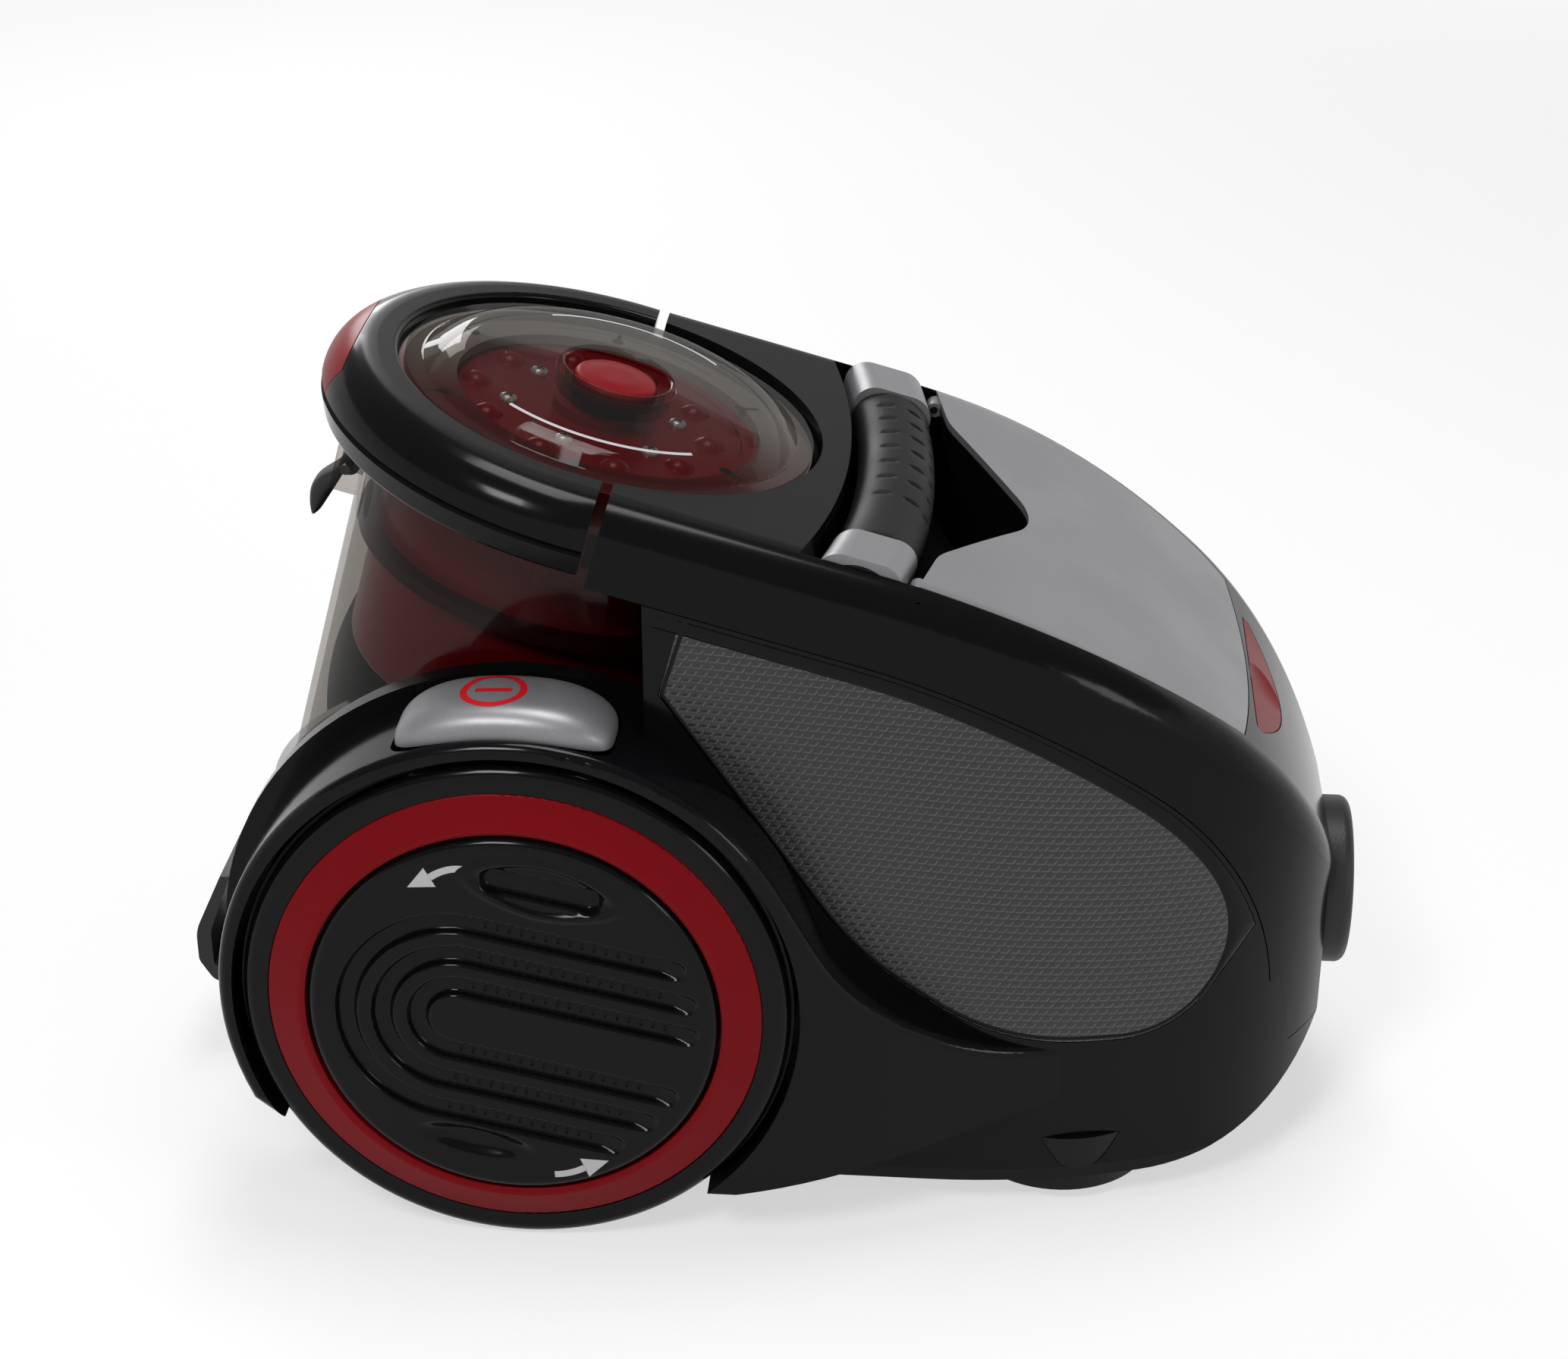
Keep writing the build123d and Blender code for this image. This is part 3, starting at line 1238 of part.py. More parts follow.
def caster_fork():
    """Disc with a stem above, a slot for the little wheel and two ears for its axle."""
    low = POD_LOW_Z - 0.5
    thick = 4.0
    ear = 4.0
    room = CASTER_WHEEL_WIDE + 2 * CASTER_SIDE_GAP
    hub = POD_TOP_Z - POD_WALL - RUN_GAP
    body = Pos(0, 0, low) * extrude(Circle(CASTER_DISC_R), amount=thick)
    body = body + Pos(0, 0, low) * extrude(Circle(room / 2 + ear), amount=hub - low)
    body = body + Pos(-CASTER_TRAIL, 0, (low + hub) / 2) * Box(2 * CASTER_TRAIL, room + 2 * ear, hub - low)
    slot = Pos(-CASTER_TRAIL, 0, CASTER_WHEEL_R) * Rot(90, 0, 0) * Cylinder(CASTER_WHEEL_R + 1.2, room)
    mouth = Pos(-CASTER_TRAIL, 0, low) * Box(2 * CASTER_WHEEL_R + 2.4, room, 2 * (CASTER_WHEEL_R - low))
    bore = Pos(-CASTER_TRAIL, 0, CASTER_WHEEL_R) * Rot(90, 0, 0) * Cylinder(CASTER_AXLE_R, room + 2 * ear)
    post = Pos(0, 0, hub - 1) * extrude(Circle(CASTER_STEM_R), amount=STEM_LONG)
    return body - slot - mouth + post - bore


def caster_wheel():
    """Little wheel with rounded shoulders."""
    half = CASTER_WHEEL_WIDE / 2
    bore = CASTER_AXLE_R + SHAFT_GAP
    edge = CASTER_WHEEL_R
    body = turned((bore, -half), (edge, -half, 2), (edge, half, 2), (bore, half))
    return Pos(-CASTER_TRAIL, 0, CASTER_WHEEL_R) * Rot(90, 0, 0) * body


def caster_axle():
    long = CASTER_WHEEL_WIDE + 2 * CASTER_SIDE_GAP + 6
    return Pos(-CASTER_TRAIL, 0, CASTER_WHEEL_R) * Rot(90, 0, 0) * Cylinder(CASTER_AXLE_R, long)


def both_sides(name, left):
    """A left piece and its mirror image."""
    return {name + "_left": left, name + "_right": mirrored(left)}


def all_parts():
    """Every piece by its node name."""
    parts = {
        "lower_body": lower_body(),
        "cup_cradle": cup_cradle(),
        "base_plate": base_plate(),
        "upper_frame": upper_frame(),
        "top_cover": top_cover(),
        "hinge_pins": hinge_pins(),
        "cover_latch": cover_latch(),
        "filter_tray": filter_tray(),
        "motor_filter": motor_filter(),
        "carry_handle": carry_handle(),
        "handle_grip": handle_grip(),
        "head_ring": head_ring(),
        "release_button": release_button(),
        "dome_lid": dome_lid(),
        "lid_knob": lid_knob(),
        "cyclone_cover": cyclone_cover(),
        "cover_screws": cover_screws(),
        "cyclone_pack": cyclone_pack(),
        "cyclone_cones": cyclone_cones(),
        "cup_gasket": cup_gasket(),
        "dust_cup": dust_cup(),
        "bin_latch": bin_latch(),
        "latch_pin": latch_pin(),
        "hose_inlet": hose_inlet(),
        "inlet_seal": inlet_seal(),
        "inlet_duct": inlet_duct(),
        "parking_bracket": parking_bracket(),
        "cord_outlet": cord_outlet(),
        "cord_reel": cord_reel(),
        "motor_mount": motor_mount(),
        "motor_can": motor_can(),
        "fan_housing": fan_housing(),
        "motor_shaft": motor_shaft(),
        "fan_impeller": fan_impeller(),
    }
    pairs = {
        "side_panel": side_panel(),
        "handle_cap": handle_cap(),
        "rear_wheel": rear_wheel(),
        "wheel_tread": wheel_tread(),
        "wheel_ring": wheel_ring(),
        "wheel_hub": wheel_hub(),
        "exhaust_filter": exhaust_filter(),
        "exhaust_cover": exhaust_cover(),
        "caster_fork": caster_spot(1) * caster_fork(),
        "caster_wheel": caster_spot(1) * caster_wheel(),
        "caster_axle": caster_spot(1) * caster_axle(),
    }
    for name, left in pairs.items():
        parts.update(both_sides(name, left))
    foot = pedal()
    parts["rewind_pedal"] = foot
    parts["power_pedal"] = mirrored(foot)
    return parts


def main():
    os.makedirs("parts", exist_ok=True)
    for name, part in all_parts().items():
        export_step(part, "parts/" + name + ".step")


if __name__ == "__main__":
    main()
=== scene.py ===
"""Looks of a bagless canister vacuum cleaner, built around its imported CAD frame.

The CAD nodes stay where they are. This script gives them finishes, adds the fine
pieces that the solids leave out, and sets the photograph's camera. Shapes are worked
out in millimetres; finishes, lamps and the camera are in metres.
"""

from __future__ import annotations

import json
import logging
import math
from dataclasses import dataclass, field
from enum import Enum
from typing import Sequence

import bpy
import numpy as np
from mathutils import Matrix, Vector

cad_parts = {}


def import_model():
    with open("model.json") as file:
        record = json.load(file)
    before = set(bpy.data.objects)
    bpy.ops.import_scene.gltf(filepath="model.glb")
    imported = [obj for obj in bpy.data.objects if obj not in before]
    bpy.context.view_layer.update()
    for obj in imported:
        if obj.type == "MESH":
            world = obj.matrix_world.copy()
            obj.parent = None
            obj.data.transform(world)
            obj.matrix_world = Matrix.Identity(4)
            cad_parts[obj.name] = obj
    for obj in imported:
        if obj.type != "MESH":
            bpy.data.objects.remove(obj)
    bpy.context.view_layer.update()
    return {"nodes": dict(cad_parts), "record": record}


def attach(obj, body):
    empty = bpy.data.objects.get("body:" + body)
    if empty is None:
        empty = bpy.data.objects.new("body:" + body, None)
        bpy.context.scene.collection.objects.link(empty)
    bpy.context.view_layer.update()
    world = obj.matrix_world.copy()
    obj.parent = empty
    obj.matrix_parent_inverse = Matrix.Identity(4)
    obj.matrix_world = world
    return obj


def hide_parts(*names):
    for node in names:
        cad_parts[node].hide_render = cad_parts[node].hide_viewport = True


LOG = logging.getLogger("vacuum")
MM = 0.001

LID_TILT = math.radians(15.5)
LID_ORIGIN = np.array([-56.4, 0.0, 289.3])
LID_U = np.array([math.cos(LID_TILT), 0.0, -math.sin(LID_TILT)])
LID_N = np.array([math.sin(LID_TILT), 0.0, math.cos(LID_TILT)])
CUP_OFFSET = -5.0
AXLE_X = -80.0
AXLE_Z = 101.0
SIDES = (1, -1)
PRINT_LIFT = 0.12
NEARLY_ZERO = 0.02

# Shader values that several finishes share, lengths in metres
METAL_SHARE = 0.45
COAT_ROUGHNESS = 0.05
CLOUD_SCALE = 24.0
CLOUD_EDGES = (0.3, 0.7)
GRAIN_DEPTH = 0.0004

Array = np.ndarray
Triple = tuple[float, float, float]
Socket = bpy.types.NodeSocket


class Surface(Enum):
    """Kinds of finish that the machine shows."""

    SOLID = "solid"
    METALLIC = "metallic"
    CLEAR = "clear"
    RHOMBIC = "rhombic"
    RING = "ring"


@dataclass
class NodeTree:
    """Short way to wire shader nodes.

    Args:
        tree: the material's node tree.
    """

    tree: bpy.types.NodeTree

    def add(self, kind: str, values: dict | None = None, **options: str) -> bpy.types.Node:
        """Adds a node.

        Args:
            kind: Blender's name of the node, after ShaderNode.
            values: what its inputs get, by name or index.
            options: properties of the node, such as its operation.

        Returns:
            The new node.
        """
        node = self.tree.nodes.new(f"ShaderNode{kind}")
        for name, option in options.items():
            setattr(node, name, option)
        self.fill(node, values or {})
        return node

    def fill(self, node: bpy.types.Node, values: dict) -> None:
        """Links inputs of a node to sockets, or sets them to constants."""
        for key, value in values.items():
            if isinstance(value, Socket):
                self.tree.links.new(value, node.inputs[key])
            else:
                node.inputs[key].default_value = value

    def math(self, kind: str, *operands: object) -> Socket:
        """Adds a Math node on sockets or numbers."""
        return self.add("Math", dict(enumerate(operands)), operation=kind).outputs["Value"]

    def ramp(
        self, value: object, low: float, high: float, start: float = 0.0, end: float = 1.0
    ) -> Socket:
        """Maps a range to another one with soft ends, and clamps it."""
        values = {"Value": value, "From Min": low, "From Max": high, "To Min": start, "To Max": end}
        return self.add("MapRange", values, interpolation_type="SMOOTHSTEP").outputs["Result"]

    def noise(self, scale: float, detail: float = 2.0) -> Socket:
        """Adds a noise on object coordinates, cells per metre."""
        values = {"Scale": scale, "Detail": detail, "Vector": self.place()}
        return self.add("TexNoise", values).outputs["Fac"]

    def place(self) -> Socket:
        """Returns the object coordinates."""
        name = "place"
        if name not in self.tree.nodes:
            self.add("TexCoord", name=name)
        return self.tree.nodes[name].outputs["Object"]

    def along(
        self, direction: Sequence[float], origin: Sequence[float] = (0.0, 0.0, 0.0)
    ) -> Socket:
        """Distance of a point along a direction, in metres, from an origin."""
        moved = self.add("VectorMath", {0: self.place(), 1: origin}, operation="SUBTRACT")
        return self.dot(moved.outputs["Vector"], direction)

    def dot(self, vector: Socket, direction: Sequence[float]) -> Socket:
        """Share of a vector along a direction."""
        node = self.add("VectorMath", {0: vector, 1: direction}, operation="DOT_PRODUCT")
        return node.outputs["Value"]

    def distance(self, first: object, second: object) -> Socket:
        """Length of a vector that has two parts at right angles."""
        squares = (self.math("MULTIPLY", part, part) for part in (first, second))
        return self.math("SQRT", self.math("ADD", *squares))

    def blend(self, amount: object, first: Triple, second: object) -> Socket:
        """Mixes a colour with a second one, or with a socket."""
        second = (*second, 1.0) if isinstance(second, tuple) else second
        values = {"Factor": amount, 6: (*first, 1.0), 7: second}
        return self.add("Mix", values, data_type="RGBA").outputs[2]

    def bump(self, height: Socket, strength: float, distance: float) -> Socket:
        """Adds a bump of a height given in metres."""
        values = {"Strength": strength, "Distance": distance, "Height": height}
        return self.add("Bump", values).outputs["Normal"]

    def show(self, share: object, first: bpy.types.Node, second: bpy.types.Node) -> None:
        """Sends a mix of two shaders to the material's surface."""
        mix = self.add("MixShader", {"Fac": share, 1: first.outputs[0], 2: second.outputs[0]})
        self.fill(self.tree.nodes["Material Output"], {"Surface": mix.outputs["Shader"]})


@dataclass(frozen=True)
class Finish:
    """One finish: a colour and how light leaves it.

    Args:
        name: material name.
        color: linear red, green and blue.
        kind: which node tree is built.
        roughness: microfacet roughness of the base.
        spread: how far the roughness wanders over the surface.
        grain: strength of the fine grain.
        grain_scale: grain cells per metre.
        coat: weight of the clear coat.
        mirror: specular level, 0.5 for plain plastic.
        slot: the record's slot that the finish belongs to.
    """

    name: str
    color: Triple
    kind: Surface = Surface.SOLID
    roughness: float = 0.2
    spread: float = 0.04
    grain: float = 0.03
    grain_scale: float = 160.0
    coat: float = 0.0
    mirror: float = 0.5
    slot: str = ""

    @property
    def record_slot(self) -> str:
        """The record's slot name."""
        return self.slot or self.name

    def build(self) -> bpy.types.Material:
        """Makes the material and returns it."""
        material = bpy.data.materials.new(self.name)
        material.use_nodes = True
        material.diffuse_color = (*self.color, 1.0)
        nodes = NodeTree(material.node_tree)
        if self.kind is Surface.CLEAR:
            self._clear(nodes)
        else:
            self._solid(nodes)
        return material

    def _solid(self, nodes: NodeTree) -> None:
        """Opaque finish: wandering roughness, fine grain, and the extra of its kind."""
        shader = nodes.tree.nodes["Principled BSDF"]
        ends = (self.roughness - self.spread, self.roughness + self.spread)
        nodes.fill(shader, {
            "Metallic": METAL_SHARE if self.kind is Surface.METALLIC else 0.0,
            "Coat Weight": self.coat,
            "Coat Roughness": COAT_ROUGHNESS,
            "Specular IOR Level": self.mirror,
            "Base Color": (*self.color, 1.0),
            "Roughness": nodes.ramp(nodes.noise(CLOUD_SCALE), *CLOUD_EDGES, *ends),
            "Normal": nodes.bump(nodes.noise(self.grain_scale), self.grain, GRAIN_DEPTH),
        })
        if self.kind is Surface.RHOMBIC:
            self._rhombs(nodes, shader)
        elif self.kind is Surface.METALLIC:
            self._flakes(nodes, shader)
        elif self.kind is Surface.RING:
            self._ring(nodes, shader)

    def _flakes(self, nodes: NodeTree, shader: bpy.types.Node) -> None:
        """Metal flake in paint: bright and dark specks a fifth of a millimetre wide."""
        flakes_per_metre, dimmer, brighter = 5200.0, 0.86, 1.12
        speck = nodes.ramp(nodes.noise(flakes_per_metre, 1.0), 0.35, 0.65)
        dim = tuple(dimmer * c for c in self.color)
        lit = tuple(min(1.0, brighter * c) for c in self.color)
        nodes.fill(shader, {"Base Color": nodes.blend(speck, dim, lit)})

    def _ring(self, nodes: NodeTree, shader: bpy.types.Node) -> None:
        """Satin where the face is level with the lid and gloss on the rolled edge.

        The lid's seat, inside the ring, is red at the near side and, at the far side, painted
        light: a grey for the pale backdrop seen through the clear lid.
        """
        satin, seat_edge, near_far = 0.46, (0.0796, 0.0802), (-0.045, 0.03)
        # The far seat's grey is painted light: the pale backdrop as if seen through the clear lid
        seat_red, backdrop_light_grey = (0.12, 0.008, 0.012), (0.27, 0.265, 0.25)
        facing = nodes.dot(nodes.add("TexCoord").outputs["Normal"], tuple(LID_N))
        level = nodes.ramp(facing, 0.93, 0.995)
        u = nodes.along(tuple(LID_U), tuple(LID_ORIGIN * MM))
        v = nodes.along((0.0, 1.0, 0.0))
        seat = nodes.ramp(nodes.distance(u, v), *seat_edge, 1.0, 0.0)
        flange = nodes.blend(nodes.ramp(v, *near_far), seat_red, backdrop_light_grey)
        nodes.fill(shader, {
            "Roughness": nodes.ramp(level, 0.0, 1.0, self.roughness, satin),
            "Base Color": nodes.blend(seat, self.color, flange),
        })

    def _rhombs(self, nodes: NodeTree, shader: bpy.types.Node) -> None:
        """Rows of small leaning pillows, each with a bright line along its foot and front edge.

        Along a row, a runs from 0 to 1 over each pillow; across the rows, b does. Every row
        is shifted by half a pillow, and each pillow leans by the slide that grows with b.
        """
        lean, wide, tall = math.radians(4.0), 0.0037, 0.0029
        slide_share, clear_of_zero, lighter = -0.4, 400.0, 0.06
        bump_strength, bump_depth = 0.55, 0.002
        s = nodes.along((math.cos(lean) / wide, 0.0, -math.sin(lean) / wide))
        t = nodes.along((math.sin(lean) / tall, 0.0, math.cos(lean) / tall))
        row = nodes.math("FLOOR", t)
        b = nodes.math("SUBTRACT", t, row)
        shift = nodes.math("MULTIPLY", row, 0.5)
        slide = nodes.math("ADD", shift, nodes.math("MULTIPLY", b, slide_share))
        a = nodes.math("FRACT", nodes.math("ADD", nodes.math("ADD", s, slide), clear_of_zero))
        low, high = nodes.ramp(b, 0.06, 0.2, 1.0, 0.0), nodes.ramp(b, 0.45, 0.8, 1.0, 0.0)
        foot = nodes.math("MULTIPLY", low, nodes.ramp(a, 0.1, 0.35))
        front = nodes.math("MULTIPLY", nodes.ramp(a, 0.8, 0.92), high)
        line = nodes.math("MAXIMUM", foot, front)
        light = tuple(c + lighter for c in self.color)
        crest = nodes.math("MULTIPLY", *(nodes.math("PINGPONG", way, 0.5) for way in (a, b)))
        nodes.fill(shader, {
            "Base Color": nodes.blend(line, self.color, light),
            "Normal": nodes.bump(crest, bump_strength, bump_depth),
        })

    def _clear(self, nodes: NodeTree) -> None:
        """Thin tinted clear wall: see-through, with a mirror-like skin that is a little smeared.

        The skin's share grows with the fourth power of how far the wall leans away.
        """
        smear_scale, smear, least_skin, most_skin, power = 30.0, 3.0, 0.012, 0.3, 4.0
        nodes.tree.nodes.remove(nodes.tree.nodes["Principled BSDF"])
        smears = nodes.noise(smear_scale)
        rough = nodes.ramp(smears, *CLOUD_EDGES, self.roughness, smear * self.roughness)
        through = nodes.add("BsdfTransparent", {"Color": (*self.color, 1.0)})
        skin = nodes.add("BsdfGlossy", {"Roughness": rough})
        lean = nodes.add("LayerWeight", {"Blend": 0.5})
        steep = nodes.math("POWER", lean.outputs["Facing"], power)
        nodes.show(nodes.math("MULTIPLY_ADD", steep, most_skin, least_skin), through, skin)


FINISHES = {finish.name: finish for finish in (
    Finish("gloss_black", (0.003, 0.003, 0.0036),
           roughness=0.13, spread=0.02, grain=0.02, mirror=0.13),
    Finish("ring_black", (0.003, 0.003, 0.0035), Surface.RING,
           roughness=0.15, grain=0.02, mirror=0.11, slot="gloss_black"),
    Finish("panel_grey", (0.016, 0.016, 0.0175), Surface.RHOMBIC,
           roughness=0.32, coat=0.2, mirror=0.35),
    Finish("smoked_clear", (0.66, 0.64, 0.62), Surface.CLEAR, roughness=0.02),
    Finish("cyclone_red", (0.26, 0.008, 0.015), roughness=0.24, grain=0.0, mirror=0.3),
    Finish("accent_red", (0.16, 0.0018, 0.0045), roughness=0.36, mirror=0.08),
    Finish("silver", (0.215, 0.215, 0.225), Surface.METALLIC, roughness=0.4),
    Finish("soft_black", (0.008, 0.0075, 0.007),
           roughness=0.5, grain=0.2, grain_scale=1400.0, mirror=0.1),
    Finish("matte_black", (0.011, 0.011, 0.012),
           roughness=0.5, grain=0.3, grain_scale=1100.0, mirror=0.35),
    # Darker copy of matte black for the base plate under the machine: painted shade
    Finish("shaded_belly_black", (0.003, 0.003, 0.004),
           roughness=0.4, grain=0.1, grain_scale=1100.0, mirror=0.16, slot="matte_black"),
    Finish("gasket_red", (0.035, 0.004, 0.005), roughness=0.6, mirror=0.2, slot="rubber"),
    Finish("rubber", (0.008, 0.008, 0.008),
           roughness=0.7, grain=0.3, grain_scale=900.0, mirror=0.3),
    Finish("steel", (0.62, 0.62, 0.63), Surface.METALLIC, roughness=0.2),
    Finish("dark_pin", (0.012, 0.012, 0.012), Surface.METALLIC, roughness=0.35, slot="steel"),
    Finish("motor_steel", (0.4, 0.41, 0.42), Surface.METALLIC, roughness=0.4),
    Finish("filter_cloth", (0.6, 0.6, 0.57), roughness=0.9, grain=0.5, grain_scale=2400.0),
    Finish("print_grey", (0.42, 0.42, 0.43), roughness=0.4, grain=0.0, slot="silver"),
    Finish("print_red", (0.48, 0.004, 0.012), roughness=0.35, grain=0.0, slot="accent_red"),
    Finish("shadow_gap", (0.004, 0.003, 0.003), roughness=0.6, grain=0.0, slot="matte_black"),
)}

# Nodes that look unlike the rest of their slot
SPECIAL = {
    "upper_frame": "ring_black",
    "head_ring": "ring_black",
    # The base plate gets the darker black, painted shade under the machine
    "base_plate": "shaded_belly_black",
    "hinge_pins": "dark_pin",
    "latch_pin": "dark_pin",
    "cup_gasket": "gasket_red",
}


@dataclass
class Palette:
    """All materials, by slot name."""

    made: dict[str, bpy.types.Material] = field(default_factory=dict)

    def get(self, slot: str) -> bpy.types.Material:
        """Returns the material of a slot in FINISHES, made on first use."""
        if slot not in self.made:
            self.made[slot] = FINISHES[slot].build()
        return self.made[slot]


@dataclass(frozen=True)
class Axes:
    """A local frame in millimetres.

    Args:
        origin: the frame's origin.
        x: first direction.
        y: second direction.
        z: third direction.
    """

    origin: Array
    x: Array
    y: Array
    z: Array

    def place(self, local: Array) -> Array:
        """Turns local points, with x, y and z on the last axis, into world points."""
        x, y, z = np.split(local, 3, axis=-1)
        return self.origin + x * self.x + y * self.y + z * self.z


UNIT_X, UNIT_Y, UNIT_Z = np.eye(3)
LID = Axes(LID_ORIGIN, LID_U, UNIT_Y, LID_N)
BIN = Axes(LID_ORIGIN + CUP_OFFSET * LID_U, LID_U, UNIT_Y, LID_N)


def join(*parts: Array) -> Array:
    """Joins coordinates along a new last axis, each repeated to the common shape."""
    return np.stack(np.broadcast_arrays(*parts), axis=-1)


def bezier(
    start: Sequence[float], bend: Sequence[float], end: Sequence[float], steps: int = 24
) -> Array:
    """Quadratic curve between two points."""
    t = np.linspace(0.0, 1.0, steps)[:, None]
    a, b, c = (np.array(point, dtype=float) for point in (start, bend, end))
    return (1 - t) ** 2 * a + 2 * t * (1 - t) * b + t ** 2 * c


def round_corners(corners: Sequence[Triple], steps: int) -> Array:
    """Rounds the corners of an open polyline.

    Args:
        corners: points with a radius each; the radius of the two ends is unused.
        steps: points on each rounding.

    Returns:
        Array of points, two columns.
    """
    most_of_leg = 0.49
    points = np.array([corner[:2] for corner in corners], dtype=float)
    out = [points[:1]]
    for index in range(1, len(points) - 1):
        here, radius = points[index], corners[index][2]
        legs = points[[index - 1, index + 1]] - here
        lengths = np.linalg.norm(legs, axis=1)
        before, after = legs / lengths[:, None]
        half = math.acos(float(np.clip(before @ after, -1.0, 1.0))) / 2.0
        cut = min(radius / math.tan(half), most_of_leg * lengths.min())
        out.append(bezier(here + before * cut, here, here + after * cut, steps))
    out.append(points[-1:])
    return np.concatenate(out)


def rotate(x: Array, y: Array, angle: float) -> tuple[Array, Array]:
    """Turns plane coordinates by an angle."""
    c, s = math.cos(angle), math.sin(angle)
    return x * c - y * s, x * s + y * c


def normals(path: Array) -> Array:
    """Unit normals of a plane path, to the left of its direction."""
    run = np.gradient(path, axis=0)
    run = run / np.linalg.norm(run, axis=1, keepdims=True)
    return join(-run[:, 1], run[:, 0])


def even_path(path: Array, count: int) -> Array:
    """Spreads points evenly along a path."""
    run = np.concatenate([[0.0], np.cumsum(np.linalg.norm(np.diff(path, axis=0), axis=1))])
    even = np.linspace(0.0, run[-1], count)
    return join(*(np.interp(even, run, column) for column in path.T))


def superellipse(a: Array, b: Array, power: float) -> Array:
    """Which superellipse a point is on: (|a|^k + |b|^k)^(1 / k)."""
    return (np.abs(a) ** power + np.abs(b) ** power) ** (1.0 / power)


def signed_power(value: Array, power: float) -> Array:
    """Power of the size of a value, with the value's sign."""
    return np.sign(value) * np.abs(value) ** power


def full_turn(steps: int) -> Array:
    """Even angles round a full turn, without the last."""
    return np.linspace(0.0, 2.0 * math.pi, steps, endpoint=False)


def lathe(profile: Array, axes: Axes, steps: int = 192) -> Array:
    """Turns a profile about a frame's z axis.

    Args:
        profile: radius and height columns.
        axes: the frame.
        steps: points round the turn.

    Returns:
        Grid of points, (profile, steps, 3); it wraps round its columns.
    """
    turn = full_turn(steps)
    radius, height = profile[:, :1], profile[:, 1:2]
    return axes.place(join(radius * np.cos(turn), radius * np.sin(turn), height))


def smooth(value: Array) -> Array:
    """Soft step: 0 below 0, 1 above 1, 3x^2 - 2x^3 between."""
    x = np.clip(value, 0.0, 1.0)
    return x * x * (3.0 - 2.0 * x)


def disc_grid(radius: float, count: int) -> tuple[Array, Array]:
    """Spreads a square grid over a disc: x sqrt(1 - y^2 / 2), y sqrt(1 - x^2 / 2)."""
    line = np.linspace(-1.0, 1.0, count)
    x, y = np.meshgrid(line, line, indexing="ij")
    return radius * x * np.sqrt(1.0 - y * y / 2.0), radius * y * np.sqrt(1.0 - x * x / 2.0)


def ribbon(path: Array, half: Array) -> Array:
    """Flat band along a plane path, a grid (points, 3, 2) of edge, middle and other edge."""
    side = normals(path) * half[:, None]
    return np.stack([path - side, path, path + side], axis=1)


def at_height(flat: Array, height: float | Array) -> Array:
    """Plane points lifted to a height."""
    return join(flat[..., 0], flat[..., 1], height)


@dataclass
class Patch:
    """Points and quads that are still being put together, in millimetres."""

    points: Array = field(default_factory=lambda: np.zeros((0, 3)))
    quads: Array = field(default_factory=lambda: np.zeros((0, 4), dtype=int))

    def add_grid(
        self, grid: Array, wrap_rows: bool = False, wrap_cols: bool = False, flip: bool = False
    ) -> Patch:
        """Adds a grid of points as a surface.

        Args:
            grid: array of shape (rows, cols, 3), or (copies, rows, cols, 3) for many surfaces.
            wrap_rows: joins the last row to the first.
            wrap_cols: joins the last column to the first.
            flip: turns the faces over.

        Returns:
            This patch.
        """
        rows, cols = grid.shape[-3:-1]
        spans = (rows if wrap_rows else rows - 1, cols if wrap_cols else cols - 1)
        a, b = np.indices(spans)
        next_a, next_b = (a + 1) % rows, (b + 1) % cols
        quads = join(a * cols + b, a * cols + next_b, next_a * cols + next_b, next_a * cols + b)
        copies = grid.size // (3 * rows * cols)
        starts = len(self.points) + rows * cols * np.arange(copies)
        quads = (quads.reshape(1, -1, 4) + starts[:, None, None]).reshape(-1, 4)
        self.quads = np.concatenate([self.quads, quads[:, ::-1] if flip else quads])
        self.points = np.concatenate([self.points, grid.reshape(-1, 3)])
        return self


def link(name: str, data: bpy.types.ID) -> bpy.types.Object:
    """Adds an object with its data to the scene and returns it."""
    thing = bpy.data.objects.new(name, data)
    bpy.context.collection.objects.link(thing)
    return thing


@dataclass
class Maker:
    """Turns patches into objects that ride on the frame."""

    palette: Palette

    def add(
        self,
        name: str,
        patch: Patch,
        slot: str,
        body: str,
        stands_for: Sequence[str] = (),
        sharp: float = 35.0,
    ) -> None:
        """Adds one object.

        Args:
            name: object name.
            patch: its surface in millimetres.
            slot: finish slot.
            body: CAD body that it moves with.
            stands_for: CAD nodes that it replaces.
            sharp: edges that bend more than this many degrees stay sharp.
        """
        mesh = bpy.data.meshes.new(name)
        count = len(patch.quads)
        mesh.vertices.add(len(patch.points))
        mesh.vertices.foreach_set("co", (patch.points * MM).ravel())
        mesh.loops.add(4 * count)
        mesh.loops.foreach_set("vertex_index", patch.quads.ravel().astype(np.int32))
        mesh.polygons.add(count)
        mesh.polygons.foreach_set("loop_start", np.arange(0, 4 * count, 4, dtype=np.int32))
        mesh.polygons.foreach_set("use_smooth", np.ones(count, dtype=bool))
        mesh.update(calc_edges=True)
        mesh.validate()
        mesh.set_sharp_from_angle(angle=math.radians(sharp))
        mesh.materials.append(self.palette.get(slot))
        thing = link(name, mesh)
        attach(thing, body)
        FINISHES[slot].record_slot
        if stands_for:
            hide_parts(*stands_for)


@dataclass
class Sided:
    """A piece that is made once for each side.

    Args:
        side: 1 for left, -1 for right.
    """

    side: int

    @property
    def name(self) -> str:
        """Side as used in the node names."""
        return "left" if self.side > 0 else "right"


